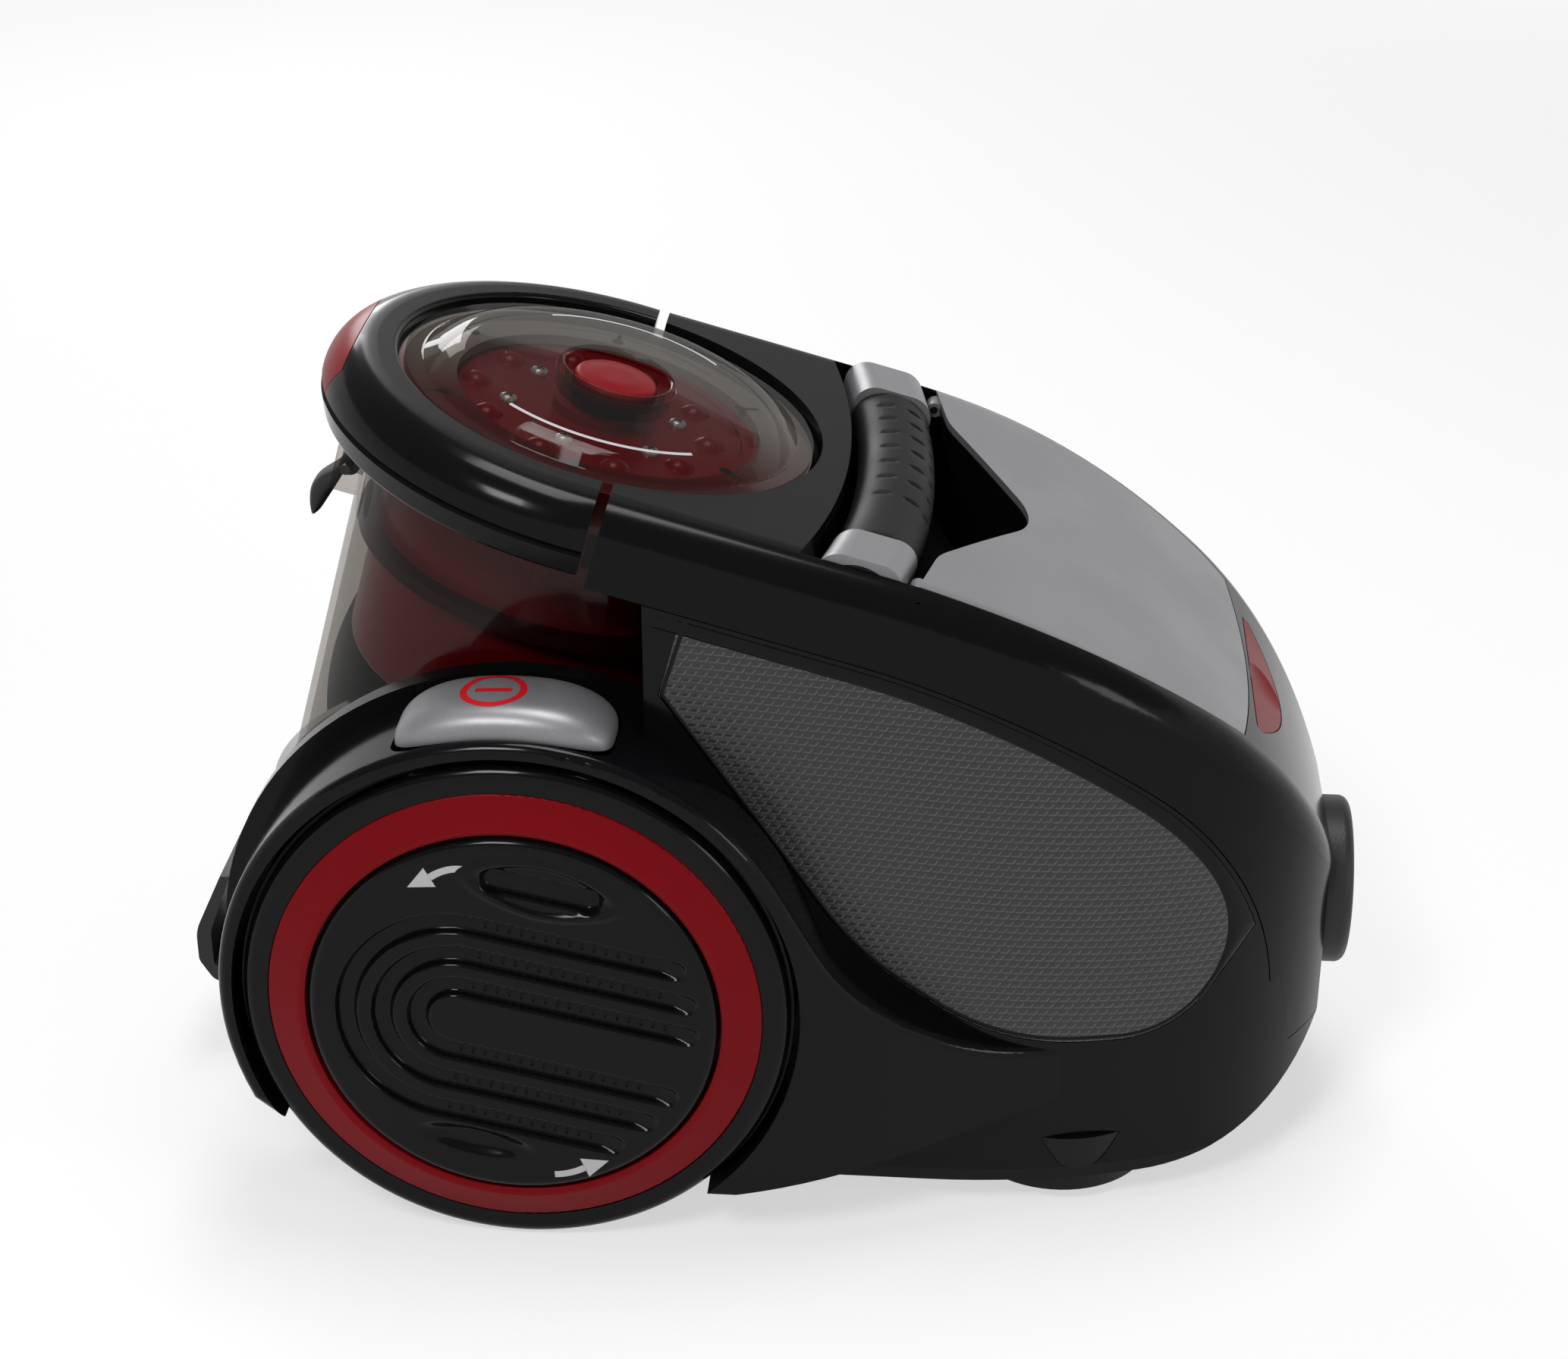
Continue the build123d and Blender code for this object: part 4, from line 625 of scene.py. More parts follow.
@dataclass
class ExhaustCover(Sided):
    """Grooved round cover in the middle of a wheel.

    Its face is a height field over a disc. The grooves are level sets of the distance
    to three nested U lines, and the finger recesses are cut by their own distances.
    """

    radius: float = 74.8
    face: float = 141.0
    back: float = 136.4
    edge: float = 4.0
    turn: float = math.radians(12.0)
    low: float = 4.6
    bend: float = -20.0
    pitches: tuple[float, ...] = (13.8, 26.8, 39.9)
    deep: float = 3.2
    reach: float = 64.0
    recess: float = 3.0
    points: int = 236

    @property
    def axes(self) -> Axes:
        """Frame on the wheel's axis, with x forward, y up and z outward."""
        return Axes(np.array([AXLE_X, 0.0, AXLE_Z]), UNIT_X, UNIT_Z, self.side * UNIT_Y)

    def arm_end(self, offset: Array) -> Array:
        """How far forward an arm at a height runs inside the rim."""
        return np.sqrt(np.maximum(self.reach ** 2 - offset ** 2, 1.0))

    def _groove(self, p: Array, across: Array, radius: float) -> Array:
        """Depth of one U groove: a bow and two arms that run out to shallow round ends.

        Args:
            p: forward along the arms.
            across: upward from the middle of the U.
            radius: distance of the groove's line from that middle.

        Returns:
            Depth at each point, zero outside the groove.
        """
        half, wall, shallow, past_end, run_out = 4.4, 1.9, 0.35, 3.0, 9.0
        end = self.arm_end(np.sign(across) * radius - self.low)
        off_arm = np.abs(across) - radius
        bow = np.abs(np.hypot(p - self.bend, across) - radius)
        tip = np.hypot(p - end, off_arm)
        gap = np.where(p < self.bend, bow, np.where(p < end, np.abs(off_arm), tip))
        rise = shallow + (1.0 - shallow) * smooth((end + past_end - p) / run_out)
        return self.deep * rise * smooth((half - gap) / wall)

    def _upper_recess(self, p: Array, q: Array) -> Array:
        """Height of the upper finger recess: a lens with a raised rim and a slot inside."""
        at, half_long, half_high, power = (1.4, 56.0), 28.5, 10.9, 1.7
        slot_at, straight, slot_half, slot_wall = (1.0, 55.6), 17.0, 5.4, 2.0
        rim, rim_in, rim_wide = 0.7, 0.4, 1.1
        step, step_in, step_wall = 0.9, 1.2, 1.6
        norm = superellipse((p - at[0]) / half_long, (q - at[1]) / half_high, power)
        inside = half_high - half_high * norm
        z = rim * np.exp(-((inside - rim_in) / rim_wide) ** 2)
        z = z - step * smooth((inside - step_in) / step_wall)
        gap = np.hypot(np.maximum(np.abs(p - slot_at[0]) - straight, 0.0), q - slot_at[1])
        return z - self.recess * smooth((slot_half - gap) / slot_wall)

    def _lower_recess(self, p: Array, q: Array) -> Array:
        """Height of the lower finger recess, a long dish."""
        at, half_long, half_high, steep = (-4.2, -55.7), 25.0, 6.8, 1.6
        inside = 1.0 - np.hypot((p - at[0]) / half_long, (q - at[1]) / half_high)
        return -self.recess * smooth(steep * inside)

    def height(self, p: Array, q: Array) -> Array:
        """Height of the face over the pattern's own axes.

        Args:
            p: forward along the arms.
            q: across the arms, upward.

        Returns:
            Height above the flat face, negative in the cuts.
        """
        z = np.zeros_like(p)
        for radius in self.pitches:
            z = z - self._groove(p, q + self.low, radius)
        return z + self._upper_recess(p, q) + self._lower_recess(p, q)

    def face_grid(self) -> Array:
        """Points of the face in the axle's frame."""
        x, y = disc_grid(self.radius, self.points)
        p, q = rotate(x, y, self.turn)
        over = np.clip(np.hypot(x, y) - (self.radius - self.edge), 0.0, self.edge)
        drop = self.edge - np.sqrt(np.maximum(self.edge ** 2 - over ** 2, 0.0))
        return join(x, y, self.face + self.height(p, q) - drop)

    def build(self, maker: Maker) -> None:
        """Adds the cover, the ribs in its grooves and its printed arrows."""
        flip, body = self.side > 0, f"vent_{self.name}"
        grid = self.face_grid()
        rim = np.concatenate([grid[:, 0], grid[-1, 1:], grid[-2::-1, -1], grid[0, -2:0:-1]])
        floor = rim.copy()
        floor[:, 2] = self.back
        middle = floor * np.array([NEARLY_ZERO, NEARLY_ZERO, 1.0])
        wall = self.axes.place(np.stack([rim, floor, middle]))
        face = Patch().add_grid(self.axes.place(grid), flip=flip)
        face.add_grid(wall, wrap_cols=True, flip=not flip)
        node = f"exhaust_cover_{self.name}"
        maker.add(f"vent_face_{self.name}", face, "gloss_black", body, [node], sharp=60.0)
        ribs = Patch().add_grid(self._ribs(), flip=flip)
        maker.add(f"vent_ribs_{self.name}", ribs, "gloss_black", body)
        maker.add(f"vent_arrows_{self.name}", self._arrows(not flip), "print_grey", body)

    def _ribs(self) -> Array:
        """Small half-round bars across the grooves' floors, one grid each."""
        half, thick, round_to = 1.3, 0.55, 1.35
        behind, ahead, pitch = 4.0, 8.0, 4.4
        long, turn = np.linspace(-half, half, 5), np.linspace(0.0, math.pi, 6)
        a, b = np.meshgrid(long, turn, indexing="ij")
        taper = np.sqrt(np.maximum(1.0 - (a / round_to) ** 2, 0.0))
        bar = join(thick * taper * np.cos(b), a, thick * taper * np.sin(b))
        spots = []
        for offset in (sign * radius - self.low for radius in self.pitches for sign in (1.0, -1.0)):
            end = float(self.arm_end(np.array(offset))) - ahead
            p = np.arange(self.bend + behind, end, pitch)
            spots.append(join(p, offset))
        local = np.concatenate(spots)[:, None, None, :] + bar[None, :, :, :2]
        x, y = rotate(local[..., 0], local[..., 1], -self.turn)
        return self.axes.place(join(x, y, self.face - self.deep + bar[None, :, :, 2]))

    def _arrows(self, flip: bool) -> Patch:
        """Two plain turning arrows, printed on the face."""
        line_half, head_half = 1.35, 4.3
        patch = Patch()
        for start, bow, neck, tip in (
            ((-14.8, 62.6), (-20.6, 63.2), (-26.6, 58.8), (-34.8, 54.4)),
            ((13.4, -66.8), (19.4, -66.4), (24.6, -63.2), (33.6, -59.6)),
        ):
            tail, head = bezier(start, bow, neck), np.linspace(neck, tip, 6)
            band = np.full(len(tail), line_half)
            cap = np.linspace(head_half, NEARLY_ZERO, len(head))
            for path, half in ((tail, band), (head, cap)):
                flat = at_height(ribbon(path, half), self.face + PRINT_LIFT)
                patch.add_grid(self.axes.place(flat), flip=flip)
        return patch


@dataclass
class HandleGrip:
    """Soft grip of the carry handle, with three rows of pressed dents.

    A flat ellipse is carried along the handle's bow, and each dent sinks the skin by
    a narrow bell that is steeper on its far side.
    """

    half: float = 68.0
    middle_x: float = 49.0
    end_x: float = 37.0
    span: float = 103.0
    sink: float = 9.0
    wide: float = 15.0
    tall: float = 12.0
    edge: float = 2.2
    edge_drop: float = 0.7
    deep: float = 0.75
    dent_walls: tuple[float, float] = (0.8, 1.7)
    dent_half: float = 3.1
    dent_bow: float = 0.05
    column_shift: float = 1.5
    rows: tuple[float, ...] = (56.0, 43.5, 30.5, 17.0, 3.0, -12.0, -28.0)
    columns: tuple[float, ...] = (112.0, 68.0, 30.0)
    steps: int = 340
    around: int = 150

    def build(self, maker: Maker) -> None:
        """Adds the grip in place of its CAD node."""
        bow = (self.middle_x - self.end_x) / LID_U[0]
        radius = (self.span ** 2 + bow ** 2) / (2.0 * bow)
        middle = (self.middle_x - LID_ORIGIN[0]) / LID_U[0]
        centre = middle + self.sink * math.sin(LID_TILT) - radius
        y = np.linspace(-self.half, self.half, self.steps)
        y, angle = np.meshgrid(y, full_turn(self.around), indexing="ij")
        sunk = self._dents(y, angle)
        soft = self.edge_drop * smooth((np.abs(y) - self.half + self.edge) / self.edge)
        out = radius + (self.wide - sunk - soft) * np.cos(angle)
        up = (self.tall - sunk - soft) * np.sin(angle) - self.sink * LID_N[2]
        u = centre + np.sqrt(out ** 2 - y ** 2)
        grid = LID.place(join(u, y, up))
        patch = Patch().add_grid(grid, wrap_cols=True)
        maker.add("grip_skin", patch, "soft_black", "chassis", ["handle_grip"], sharp=70.0)

    def _dents(self, y: Array, angle: Array) -> Array:
        """Depth of the dents at each point of the skin."""
        depth = np.zeros_like(y)
        for index, column in enumerate(self.columns):
            across = (angle - math.radians(column)) * self.wide
            for row in self.rows:
                along = y - row + self.column_shift * index + self.dent_bow * across ** 2
                wall = np.where(along > 0.0, *self.dent_walls)
                bell = np.exp(-(along / wall) ** 2 - (across / self.dent_half) ** 4)
                depth = np.maximum(depth, self.deep * bell)
        return depth


@dataclass
class LidPrint:
    """Two printed arcs on the clear lid, each a radius and its angles at both ends."""

    near: Triple = (60.0, -123.0, -55.0)
    far: Triple = (50.5, 47.0, 128.0)
    half: float = 0.65

    def skin(self, radius: Array) -> Array:
        """Height of the lid's outer face at a radius."""
        line = round_corners(((20.0, 8.0, 0.0), (62.0, 5.0, 20.0), (72.0, -2.3, 0.0)), steps=16)
        return np.interp(radius, line[:, 0], line[:, 1])

    def build(self, maker: Maker) -> None:
        """Adds both arcs, a touch above the skin."""
        patch = Patch()
        for radius, start, end in (self.near, self.far):
            turn = np.radians(np.linspace(start, end, 72))[:, None]
            out = radius + np.array([self.half, 0.0, -self.half])[None, :]
            up = self.skin(out) + PRINT_LIFT
            patch.add_grid(LID.place(join(out * np.cos(turn), out * np.sin(turn), up)))
        maker.add("lid_arcs", patch, "print_grey", "lid")


@dataclass
class HeadDetail:
    """Screws with cross recesses, and keyholes, under the clear lid."""

    screw_ring: float = 33.0
    screw_start: float = 18.0
    screw_top: float = -11.0
    head: float = 3.4
    cross_turn: float = 0.3
    cross_long: float = 1.9
    cross_half: float = 0.42
    cross_top: float = 2.38
    cross_fall: float = 0.06
    key_ring: float = 61.0
    key_start: float = -90.0
    key_level: float = -5.85
    slot_level: float = -5.86
    slot_half: float = 0.8
    count: int = 6

    def _round(self, start: float) -> Array:
        """Directions of the places on a ring, from a first angle in degrees."""
        turns = np.radians(start + 360.0 / self.count * np.arange(self.count))
        return join(np.cos(turns), np.sin(turns))

    def _turned(self, at: Array, profile: Array, steps: int) -> Array:
        """Turns a profile about a line through a place on the head."""
        origin = BIN.place(np.array([*at, 0.0]))
        return lathe(profile, Axes(origin, BIN.x, BIN.y, BIN.z), steps)

    def build(self, maker: Maker) -> None:
        """Adds the screws in place of their CAD node, and the keyholes."""
        heads, marks = Patch(), Patch()
        radius = np.array([NEARLY_ZERO, 0.8, 1.6, 2.4, 3.0, self.head, self.head])
        height = self.screw_top + np.array([2.3, 2.25, 2.1, 1.8, 1.4, 0.9, 0.0])
        profile = join(radius, height)
        for out in self._round(self.screw_start):
            at = self.screw_ring * out
            heads.add_grid(self._turned(at, profile, 28), wrap_cols=True, flip=True)
            for lean in (self.cross_turn, self.cross_turn + 0.5 * math.pi):
                way = np.array(rotate(*out, lean))
                path = np.linspace(-self.cross_long, self.cross_long, 7)[:, None] * way
                flat = ribbon(at + path, np.full(7, self.cross_half))
                fall = self.cross_fall * np.sum((flat - at) ** 2, axis=-1)
                up = at_height(flat, self.screw_top + self.cross_top - fall)
                marks.add_grid(BIN.place(up), flip=True)
        maker.add("screw_heads", heads, "steel", "head", ["cover_screws"], sharp=50.0)
        maker.add("screw_recesses", marks, "shadow_gap", "head")
        self._keyholes(maker)

    def _keyholes(self, maker: Maker) -> None:
        """Round holes with a slot outward, as dark inlays on the lid's seat."""
        patch = Patch()
        hole = join(np.array([NEARLY_ZERO, 1.2, 2.4]), self.key_level)
        for out in self._round(self.key_start):
            at = self.key_ring * out
            patch.add_grid(self._turned(at, hole, 24), wrap_cols=True, flip=True)
            path = at + np.linspace(1.5, 8.0, 8)[:, None] * out
            slot = at_height(ribbon(path, np.full(8, self.slot_half)), self.slot_level)
            patch.add_grid(BIN.place(slot), flip=True)
        maker.add("keyholes", patch, "shadow_gap", "head")


@dataclass
class PanelRim(Sided):
    """Gloss lip round a side panel: a band under the seam and a bead along the lower edge.

    The panel's face is the hull's plan, straight and then two arcs, so a point at x and z
    has its y from the plan. The seam runs at a fixed depth under the crown, a line and two arcs.
    """

    proud: float = 0.3
    tip_points: int = 25
    tip_foot: tuple[float, float] = (169.5, 88.0)
    tip_inset: tuple[float, float] = (-1.4, 1.0)
    depths: tuple[float, ...] = (32.3, 32.7, 33.6, 36.4, 37.2, 37.5)
    bead: tuple[float, ...] = (0.0, 0.3, 0.8, 1.4, 1.7)
    lower_edge: tuple[Triple, ...] = (
        (-19.2, 247.5, 0.0), (-28.6, 217.0, 3.0), (42.0, 113.6, 120.0),
        (95.0, 76.8, 100.0), (160.0, 75.0, 40.0), (187.6, 114.9, 0.0),
    )

    def half_width(self, x: Array) -> Array:
        """Half width of the hull: straight, then a slow arc and a quick one at the nose."""
        straight, slow_from, slow_radius = 106.0, 70.0, 267.0
        quick_from, quick_at, quick_radius = 170.0, (136.8, 4.4), 88.7
        run = np.clip(x - slow_from, 0.0, slow_radius - 1.0)
        slow = straight - slow_radius + np.sqrt(slow_radius ** 2 - run ** 2)
        square = np.maximum(quick_radius ** 2 - (x - quick_at[0]) ** 2, 1.0)
        quick = quick_at[1] + np.sqrt(square)
        return np.where(x < slow_from, straight, np.where(x < quick_from, slow, quick))

    def under_crown(self) -> Array:
        """Lines at the depths under the crown, an array (points, depths, 2) of x and z."""
        depth, steps = np.array(self.depths), 53
        ends, arcs = (-20.5, 50.0), ((330.0, math.radians(38.0)), (161.0, math.radians(71.5)))
        origin, forward, up = (vector[[0, 2]] for vector in (LID_ORIGIN, LID_U, LID_N))
        start, bend = ((x - origin[0]) / forward[0] for x in ends)
        run = np.linspace(start, bend, steps)
        pieces = [origin + run[:, None, None] * forward - depth[None, :, None] * up]
        corner, first = origin + bend * forward, LID_TILT
        for radius, last in arcs:
            centre = corner - radius * np.array([math.sin(first), math.cos(first)])
            turn = np.linspace(first, last, steps)[1:, None]
            arc = (radius - depth)[None, :, None] * join(np.sin(turn), np.cos(turn))
            pieces.append(centre + arc)
            corner = centre + radius * np.array([math.sin(last), math.cos(last)])
            first = last
        return np.concatenate(pieces)

    def _tip(self, lines: Array) -> Array:
        """Fills the panel's pointed front below the crown's lines, so that it ends round."""
        seam = lines[-self.tip_points - 1:, 0]
        down = np.linspace(0.0, 1.0, self.tip_points)[1:, None]
        foot = np.array(self.tip_foot)
        pointed = np.concatenate([seam, seam[-1] + down * (foot - seam[-1])])
        start, inner = lines[-self.tip_points - 1, -1], foot + np.array(self.tip_inset)
        curve = bezier(start, seam[-1], inner, steps=len(pointed))
        across = np.array([0.0, 0.1, 0.5, 0.9, 1.0])
        flat = pointed[:, None, :] + across[None, :, None] * (curve - pointed)[:, None, :]
        return self.lay(flat, (-0.2, 1.0, 1.0, 1.0, -0.2))

    def lay(self, flat: Array, lift: Sequence[float]) -> Array:
        """Lays side-view points on the hull's flank, lifted by shares of the lip's height."""
        y = self.side * (self.half_width(flat[..., 0]) + self.proud * np.array(lift))
        return join(flat[..., 0], y, flat[..., 1])

    def build(self, maker: Maker) -> None:
        """Adds the band and the bead."""
        flip = self.side < 0
        lines = self.under_crown()
        band = self.lay(lines[:-self.tip_points], (-0.2, 0.6, 1.0, 1.0, 0.6, -0.2))
        patch = Patch().add_grid(band, flip=flip)
        patch.add_grid(self._tip(lines), flip=flip)
        path = even_path(round_corners(self.lower_edge, steps=28), 260)
        inward = np.array(self.bead)[None, :, None] * normals(path)[:, None, :]
        bead = self.lay(path[:, None, :] + inward, (-0.2, 0.7, 1.0, 0.7, -0.2))
        patch.add_grid(bead, flip=not flip)
        maker.add(f"panel_rim_{self.name}", patch, "gloss_black", "chassis", sharp=80.0)


@dataclass
class LatchPaddle:
    """Lever on the cup's rear wall: a barrel on the pin and a drop-shaped finger tab.

    The tab's near face keeps the CAD outline, so that the swing stays clear of the cup,
    and its back swells to 8 mm.
    """

    pivot: tuple[float, float] = (-83.5, -57.0)
    half_wide: float = 7.0
    barrel: float = 4.0
    bore: float = 2.3
    chamfer: float = 0.5
    thin: float = 3.0
    swell: float = 5.0
    tip: float = 0.14
    steps: int = 40
    around: int = 36

    def place(self, u: Array, y: Array, n: Array) -> Array:
        """Places points given from the pivot."""
        return BIN.place(join(self.pivot[0] + u, y, self.pivot[1] + n))

    def build(self, maker: Maker) -> None:
        """Adds the lever in place of its CAD node."""
        patch = Patch().add_grid(self._tab(), wrap_cols=True)
        patch.add_grid(self._barrel(), wrap_cols=True)
        maker.add("bin_latch_form", patch, "matte_black", "lever", ["bin_latch"], sharp=50.0)

    def _tab(self) -> Array:
        """Points of the finger tab, ring by ring from the pin to the rounded tip."""
        share = np.linspace(0.0, 1.0, self.steps)[:, None]
        near = bezier((-0.6, -1.0), (-3.6, -12.0), (-8.2, -25.0), steps=self.steps)
        back = -normals(near)
        thick = self.thin + self.swell * np.sin(math.pi * share ** 1.3) ** 1.2
        past = np.clip((share - (1.0 - self.tip)) / self.tip, 0.0, 1.0)
        round_tip = np.sqrt(np.clip(1.0 - past ** 2, 0.0004, 1.0))
        middle = near + back * 0.5 * thick
        turn = full_turn(self.around)[None, :]
        out = 0.5 * thick * round_tip * signed_power(np.sin(turn), 0.75)
        y = self.half_wide * signed_power(np.cos(turn), 0.55) * (0.75 + 0.25 * round_tip)
        return self.place(middle[:, :1] + back[:, :1] * out, y, middle[:, 1:] + back[:, 1:] * out)

    def _barrel(self) -> Array:
        """Points of the barrel round the pin, with chamfered ends."""
        length = self.half_wide * np.array([-1.0, -1.0, -0.9, 0.9, 1.0, 1.0])[:, None]
        edge = self.barrel - self.chamfer
        radius = np.array([self.bore, edge, self.barrel, self.barrel, edge, self.bore])[:, None]
        turn = full_turn(self.around)[None, :]
        return self.place(radius * np.cos(turn), length, radius * np.sin(turn))


@dataclass
class FootPedal(Sided):
    """Foot pedal: a pillow with superellipse plan, bent round the wheel's axis.

    With m = ((u / a)^k + (v / b)^k)^(1 / k), the top is level up to m = 0.45 and then
    falls by 8.5 (1 - sqrt(1 - t^2)) to the rim, where the skirt starts.
    """

    long: float = 38.9
    wide: float = 18.4
    power: float = 4.0
    level: float = 0.45
    fall: float = 8.5
    x: float = -82.0
    y: float = 112.0
    top: float = 220.0
    foot: float = 209.7
    mark_at: float = -4.0
    mark_ring: float = 10.6
    mark_bar: float = 6.5
    mark_half: float = 1.25

    def drop(self, u: Array, v: Array) -> Array:
        """Fall of the top below its highest line."""
        norm = superellipse(u / self.long, v / self.wide, self.power)
        t = np.clip((norm - self.level) / (1.0 - self.level), 0.0, 1.0)
        return self.fall * (1.0 - np.sqrt(1.0 - t * t))

    def bend(self, u: Array, v: Array, drop: Array) -> Array:
        """Bends plan points, u along and v across the pedal, round the wheel's axis."""
        across = self.x - AXLE_X + u
        radius = self.top - AXLE_Z - drop
        z = AXLE_Z + np.sqrt(radius * radius - across * across)
        return join(self.x + u, self.side * self.y + v, z)

    def build(self, maker: Maker) -> None:
        """Adds the pedal in place of its CAD node, with the printed mark on the power pedal."""
        turn = full_turn(160)[:, None]
        falling = np.sin(np.linspace(0.06, 0.5 * math.pi, 18))
        rho = np.concatenate([
            [0.01],
            np.linspace(0.1, self.level, 6),
            self.level + (1.0 - self.level) * falling,
        ])[None, :]
        u = self.long * rho * signed_power(np.cos(turn), 2.0 / self.power)
        v = self.wide * rho * signed_power(np.sin(turn), 2.0 / self.power)
        dome = self.bend(u, v, self.drop(u, v))
        rim_u, rim_v = u[:, -1:], v[:, -1:]
        skirt = self.bend(rim_u, rim_v, np.full_like(rim_u, self.top - self.foot))
        patch = Patch().add_grid(np.concatenate([dome, skirt], axis=1), wrap_rows=True, flip=True)
        power = self.side < 0
        key = "power" if power else "rewind"
        maker.add(f"{key}_pedal_form", patch, "silver", f"{key}_key", (f"{key}_pedal",), sharp=60.0)
        if power:
            maker.add("power_mark", self._mark(), "print_red", "power_key")

    def _mark(self) -> Patch:
        """The printed ring and bar, just over the pedal's skin."""
        turn = full_turn(96)[:, None]
        out = self.mark_ring + np.array([self.mark_half, 0.0, -self.mark_half])[None, :]
        path = join(np.linspace(-self.mark_bar, self.mark_bar, 16), 0.0)
        ring = join(out * np.cos(turn), out * np.sin(turn))
        bar = ribbon(path, np.full(len(path), self.mark_half))
        patch = Patch()
        for flat, closed in ((ring, True), (bar, False)):
            u, v = self.mark_at + flat[..., 0], flat[..., 1]
            skin = self.bend(u, v, self.drop(u, v) - PRINT_LIFT)
            patch.add_grid(skin, wrap_rows=closed, flip=not closed)
        return patch


@dataclass(frozen=True)
class Lamp:
    """A square lamp that looks at a point.

    Args:
        name: object name.
        place: where it hangs.
        aim: what it looks at.
        size: its side.
        power: its power in watts.
    """

    name: str
    place: Triple
    aim: Triple
    size: float
    power: float

    def hang(self) -> None:
        """Adds the lamp to the scene."""
        lamp = bpy.data.lights.new(self.name, "AREA")
        lamp.size = self.size
        lamp.energy = self.power
        holder = link(self.name, lamp)
        way = Vector(self.aim) - Vector(self.place)
        holder.location = self.place
        holder.rotation_euler = way.to_track_quat("-Z", "Y").to_euler()


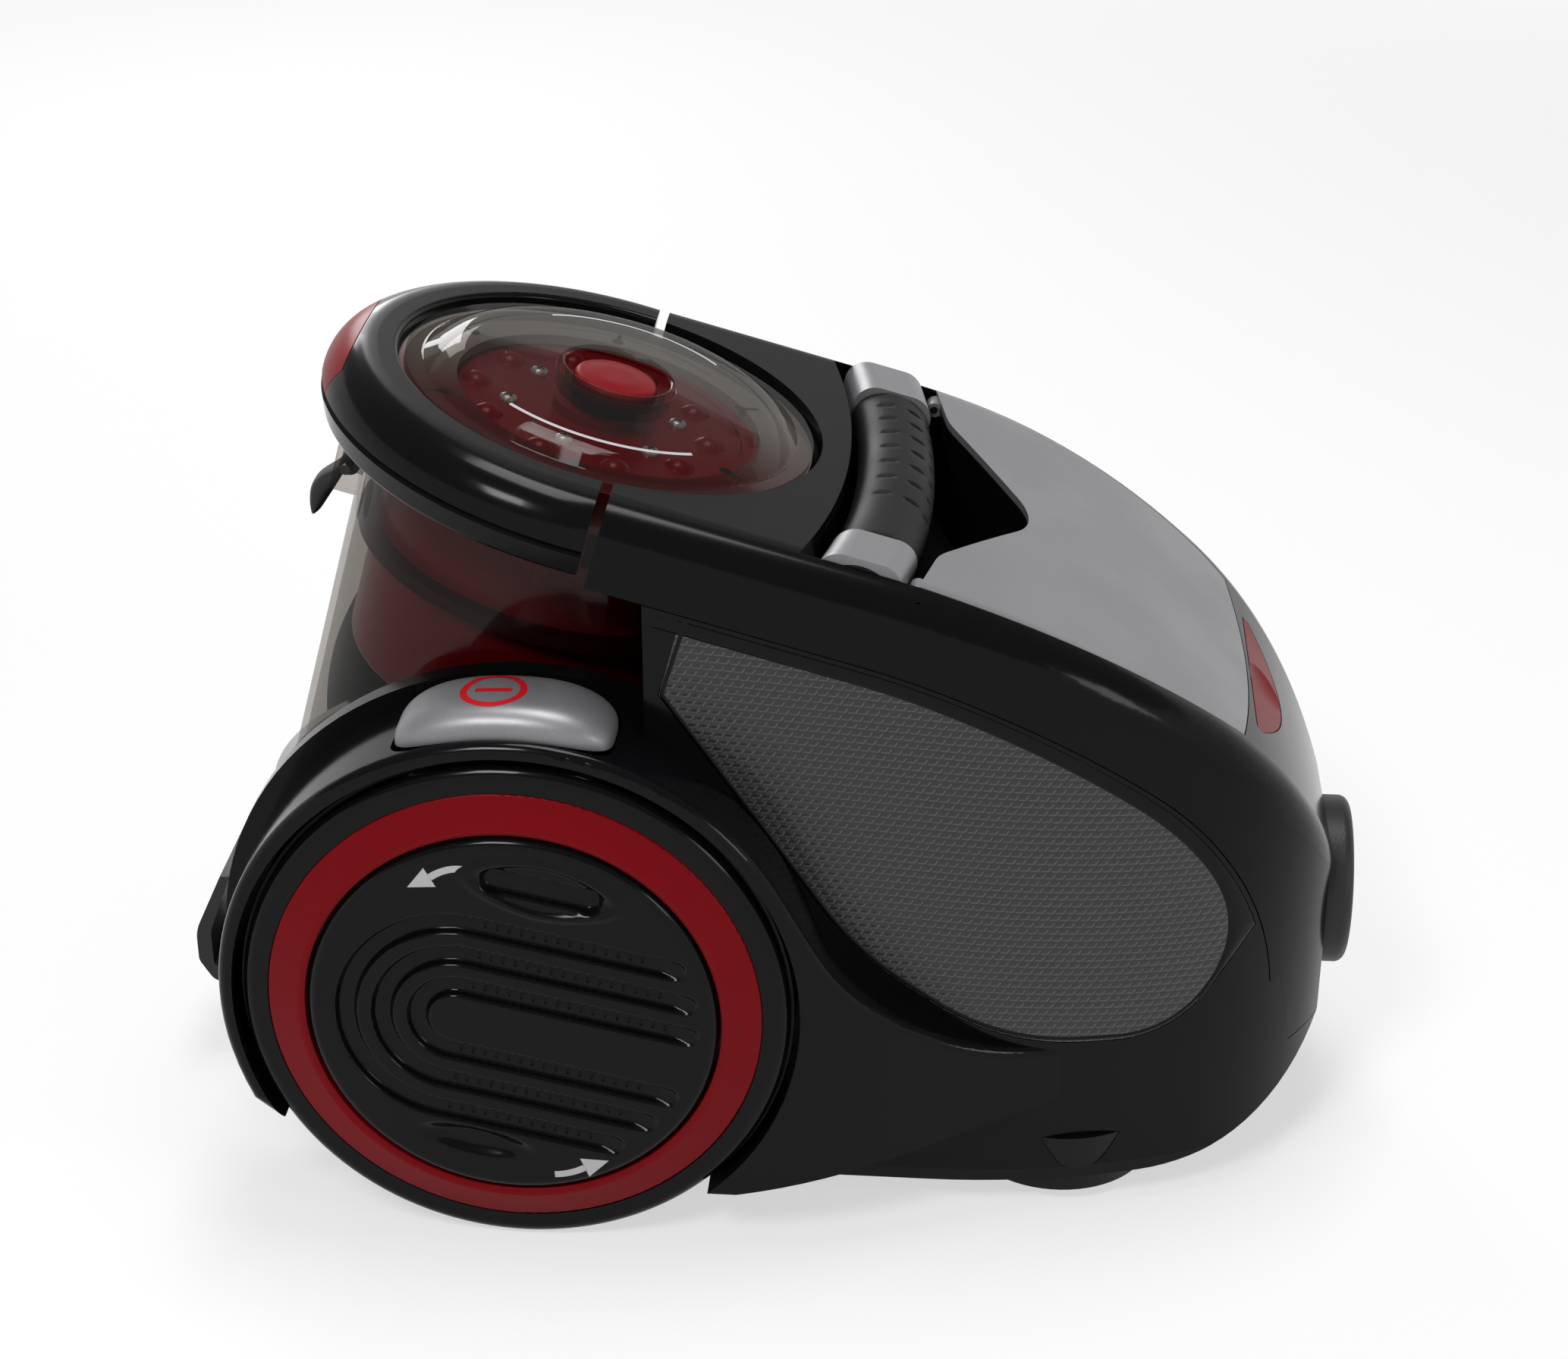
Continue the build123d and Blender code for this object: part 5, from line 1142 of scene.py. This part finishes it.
@dataclass
class Stage:
    """Camera, light and floor, as in the photograph."""

    camera_at: Triple = (0.0871, -1.0229, 0.6947)
    azimuth: float = math.radians(4.464)
    elevation: float = math.radians(27.063)
    lens: float = 68.0
    sensor: float = 36.0
    world: float = 0.3
    floor_reach: float = 7000.0
    cove: float = 1500.0
    wall_top: float = 3800.0
    paper: float = 0.82
    lamps: tuple[Lamp, ...] = (
        Lamp("key", (-0.5, -1.3, 1.7), (0.0, 0.0, 0.15), 0.5, 20.0),
        Lamp("top", (0.1, 0.2, 2.1), (0.0, 0.0, 0.15), 0.8, 24.0),
        Lamp("rear", (-0.62, 1.6, 0.85), (-0.08, 0.0, 0.2), 0.5, 8.0),
        Lamp("side", (1.7, -1.0, 0.9), (0.05, 0.0, 0.15), 0.5, 5.5),
    )

    def build(self) -> None:
        """Adds the floor, the lights and the camera."""
        self._floor()
        self._world()
        for lamp in self.lamps:
            lamp.hang()
        self._camera()

    def _floor(self) -> None:
        """Round floor with a low white wall, so that level views end in white too."""
        turn = np.linspace(0.0, 0.5 * math.pi, 14)
        radius = self.floor_reach + self.cove * np.sin(turn)
        cove = join(radius, self.cove * (1.0 - np.cos(turn)))
        level = join(np.array([1.0, 400.0, 1200.0, 3000.0]), 0.0)
        top = np.array([[self.floor_reach + self.cove, self.wall_top]])
        axes = Axes(np.zeros(3), UNIT_X, UNIT_Y, UNIT_Z)
        grid = lathe(np.concatenate([level, cove, top]), axes)
        patch = Patch().add_grid(grid, wrap_cols=True)
        mesh = bpy.data.meshes.new("floor")
        mesh.from_pydata((patch.points * MM).tolist(), [], patch.quads.tolist())
        floor = link("floor", mesh)
        mesh.materials.append(self._floor_finish())

    def _floor_finish(self) -> bpy.types.Material:
        """White paper: a matte floor that keeps the shadow, lifted to white where it is seen."""
        material = bpy.data.materials.new("floor")
        material.use_nodes = True
        nodes = NodeTree(material.node_tree)
        matte = nodes.tree.nodes["Principled BSDF"]
        color = (self.paper, self.paper, self.paper, 1.0)
        nodes.fill(matte, {"Base Color": color, "Roughness": 0.9, "Specular IOR Level": 0.1})
        far = nodes.distance(nodes.along((1.0, 0.0, 0.0)), nodes.along((0.0, 1.0, 0.0)))
        lift = nodes.math("MULTIPLY", self._seen(nodes), nodes.ramp(far, 0.9, 2.6, 0.6, 1.0))
        nodes.show(lift, matte, nodes.add("Emission"))
        return material

    def _seen(self, nodes: NodeTree) -> Socket:
        """One where the eye, a mirror or a clear wall looks, zero where only light falls."""
        path = nodes.add("LightPath")
        seen = nodes.math("MAXIMUM", path.outputs["Is Camera Ray"], path.outputs["Is Glossy Ray"])
        return nodes.math("MAXIMUM", seen, path.outputs["Is Transmission Ray"])

    def _world(self) -> None:
        """Adds an even white surrounding."""
        world = bpy.data.worlds.new("studio")
        bpy.context.scene.world = world
        world.use_nodes = True
        background = world.node_tree.nodes["Background"]
        background.inputs["Color"].default_value = (1.0, 1.0, 1.0, 1.0)
        background.inputs["Strength"].default_value = self.world

    def _camera(self) -> None:
        """Adds the camera that was fitted to the photograph."""
        data = bpy.data.cameras.new("photo")
        data.lens = self.lens
        data.sensor_width = self.sensor
        holder = link("photo", data)
        a, e = self.azimuth, self.elevation
        back = Vector((math.sin(a) * math.cos(e), -math.cos(a) * math.cos(e), math.sin(e)))
        right = Vector((math.cos(a), math.sin(a), 0.0))
        up = back.cross(right)
        turn = Matrix((right, up, back)).transposed().to_4x4()
        holder.matrix_world = Matrix.Translation(self.camera_at) @ turn
        bpy.context.scene.camera = holder


def dress(frame: dict, palette: Palette) -> None:
    """Gives every CAD node the finish of its slot.

    Args:
        palette: the materials.
    """
    slots = {item["node"]: item["material_slot"] for item in frame["record"]["subparts"]}
    for name, node in frame["nodes"].items():
        node.data.materials.clear()
        node.data.materials.append(palette.get(SPECIAL.get(name, slots[name])))


def main() -> None:
    """Builds the scene."""
    logging.basicConfig(level=logging.INFO)
    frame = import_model()
    scene = bpy.context.scene
    scene.view_settings.view_transform = "Standard"
    palette = Palette()
    dress(frame, palette)
    maker = Maker(palette)
    for piece in (
        *(ExhaustCover(side) for side in SIDES), HandleGrip(), LidPrint(), HeadDetail(),
        *(PanelRim(side) for side in SIDES), LatchPaddle(), *(FootPedal(side) for side in SIDES),
    ):
        piece.build(maker)
        LOG.info("built %s", type(piece).__name__)
    Stage().build()
    LOG.info("%d nodes dressed", len(frame["nodes"]))


if __name__ == "__main__":
    main()
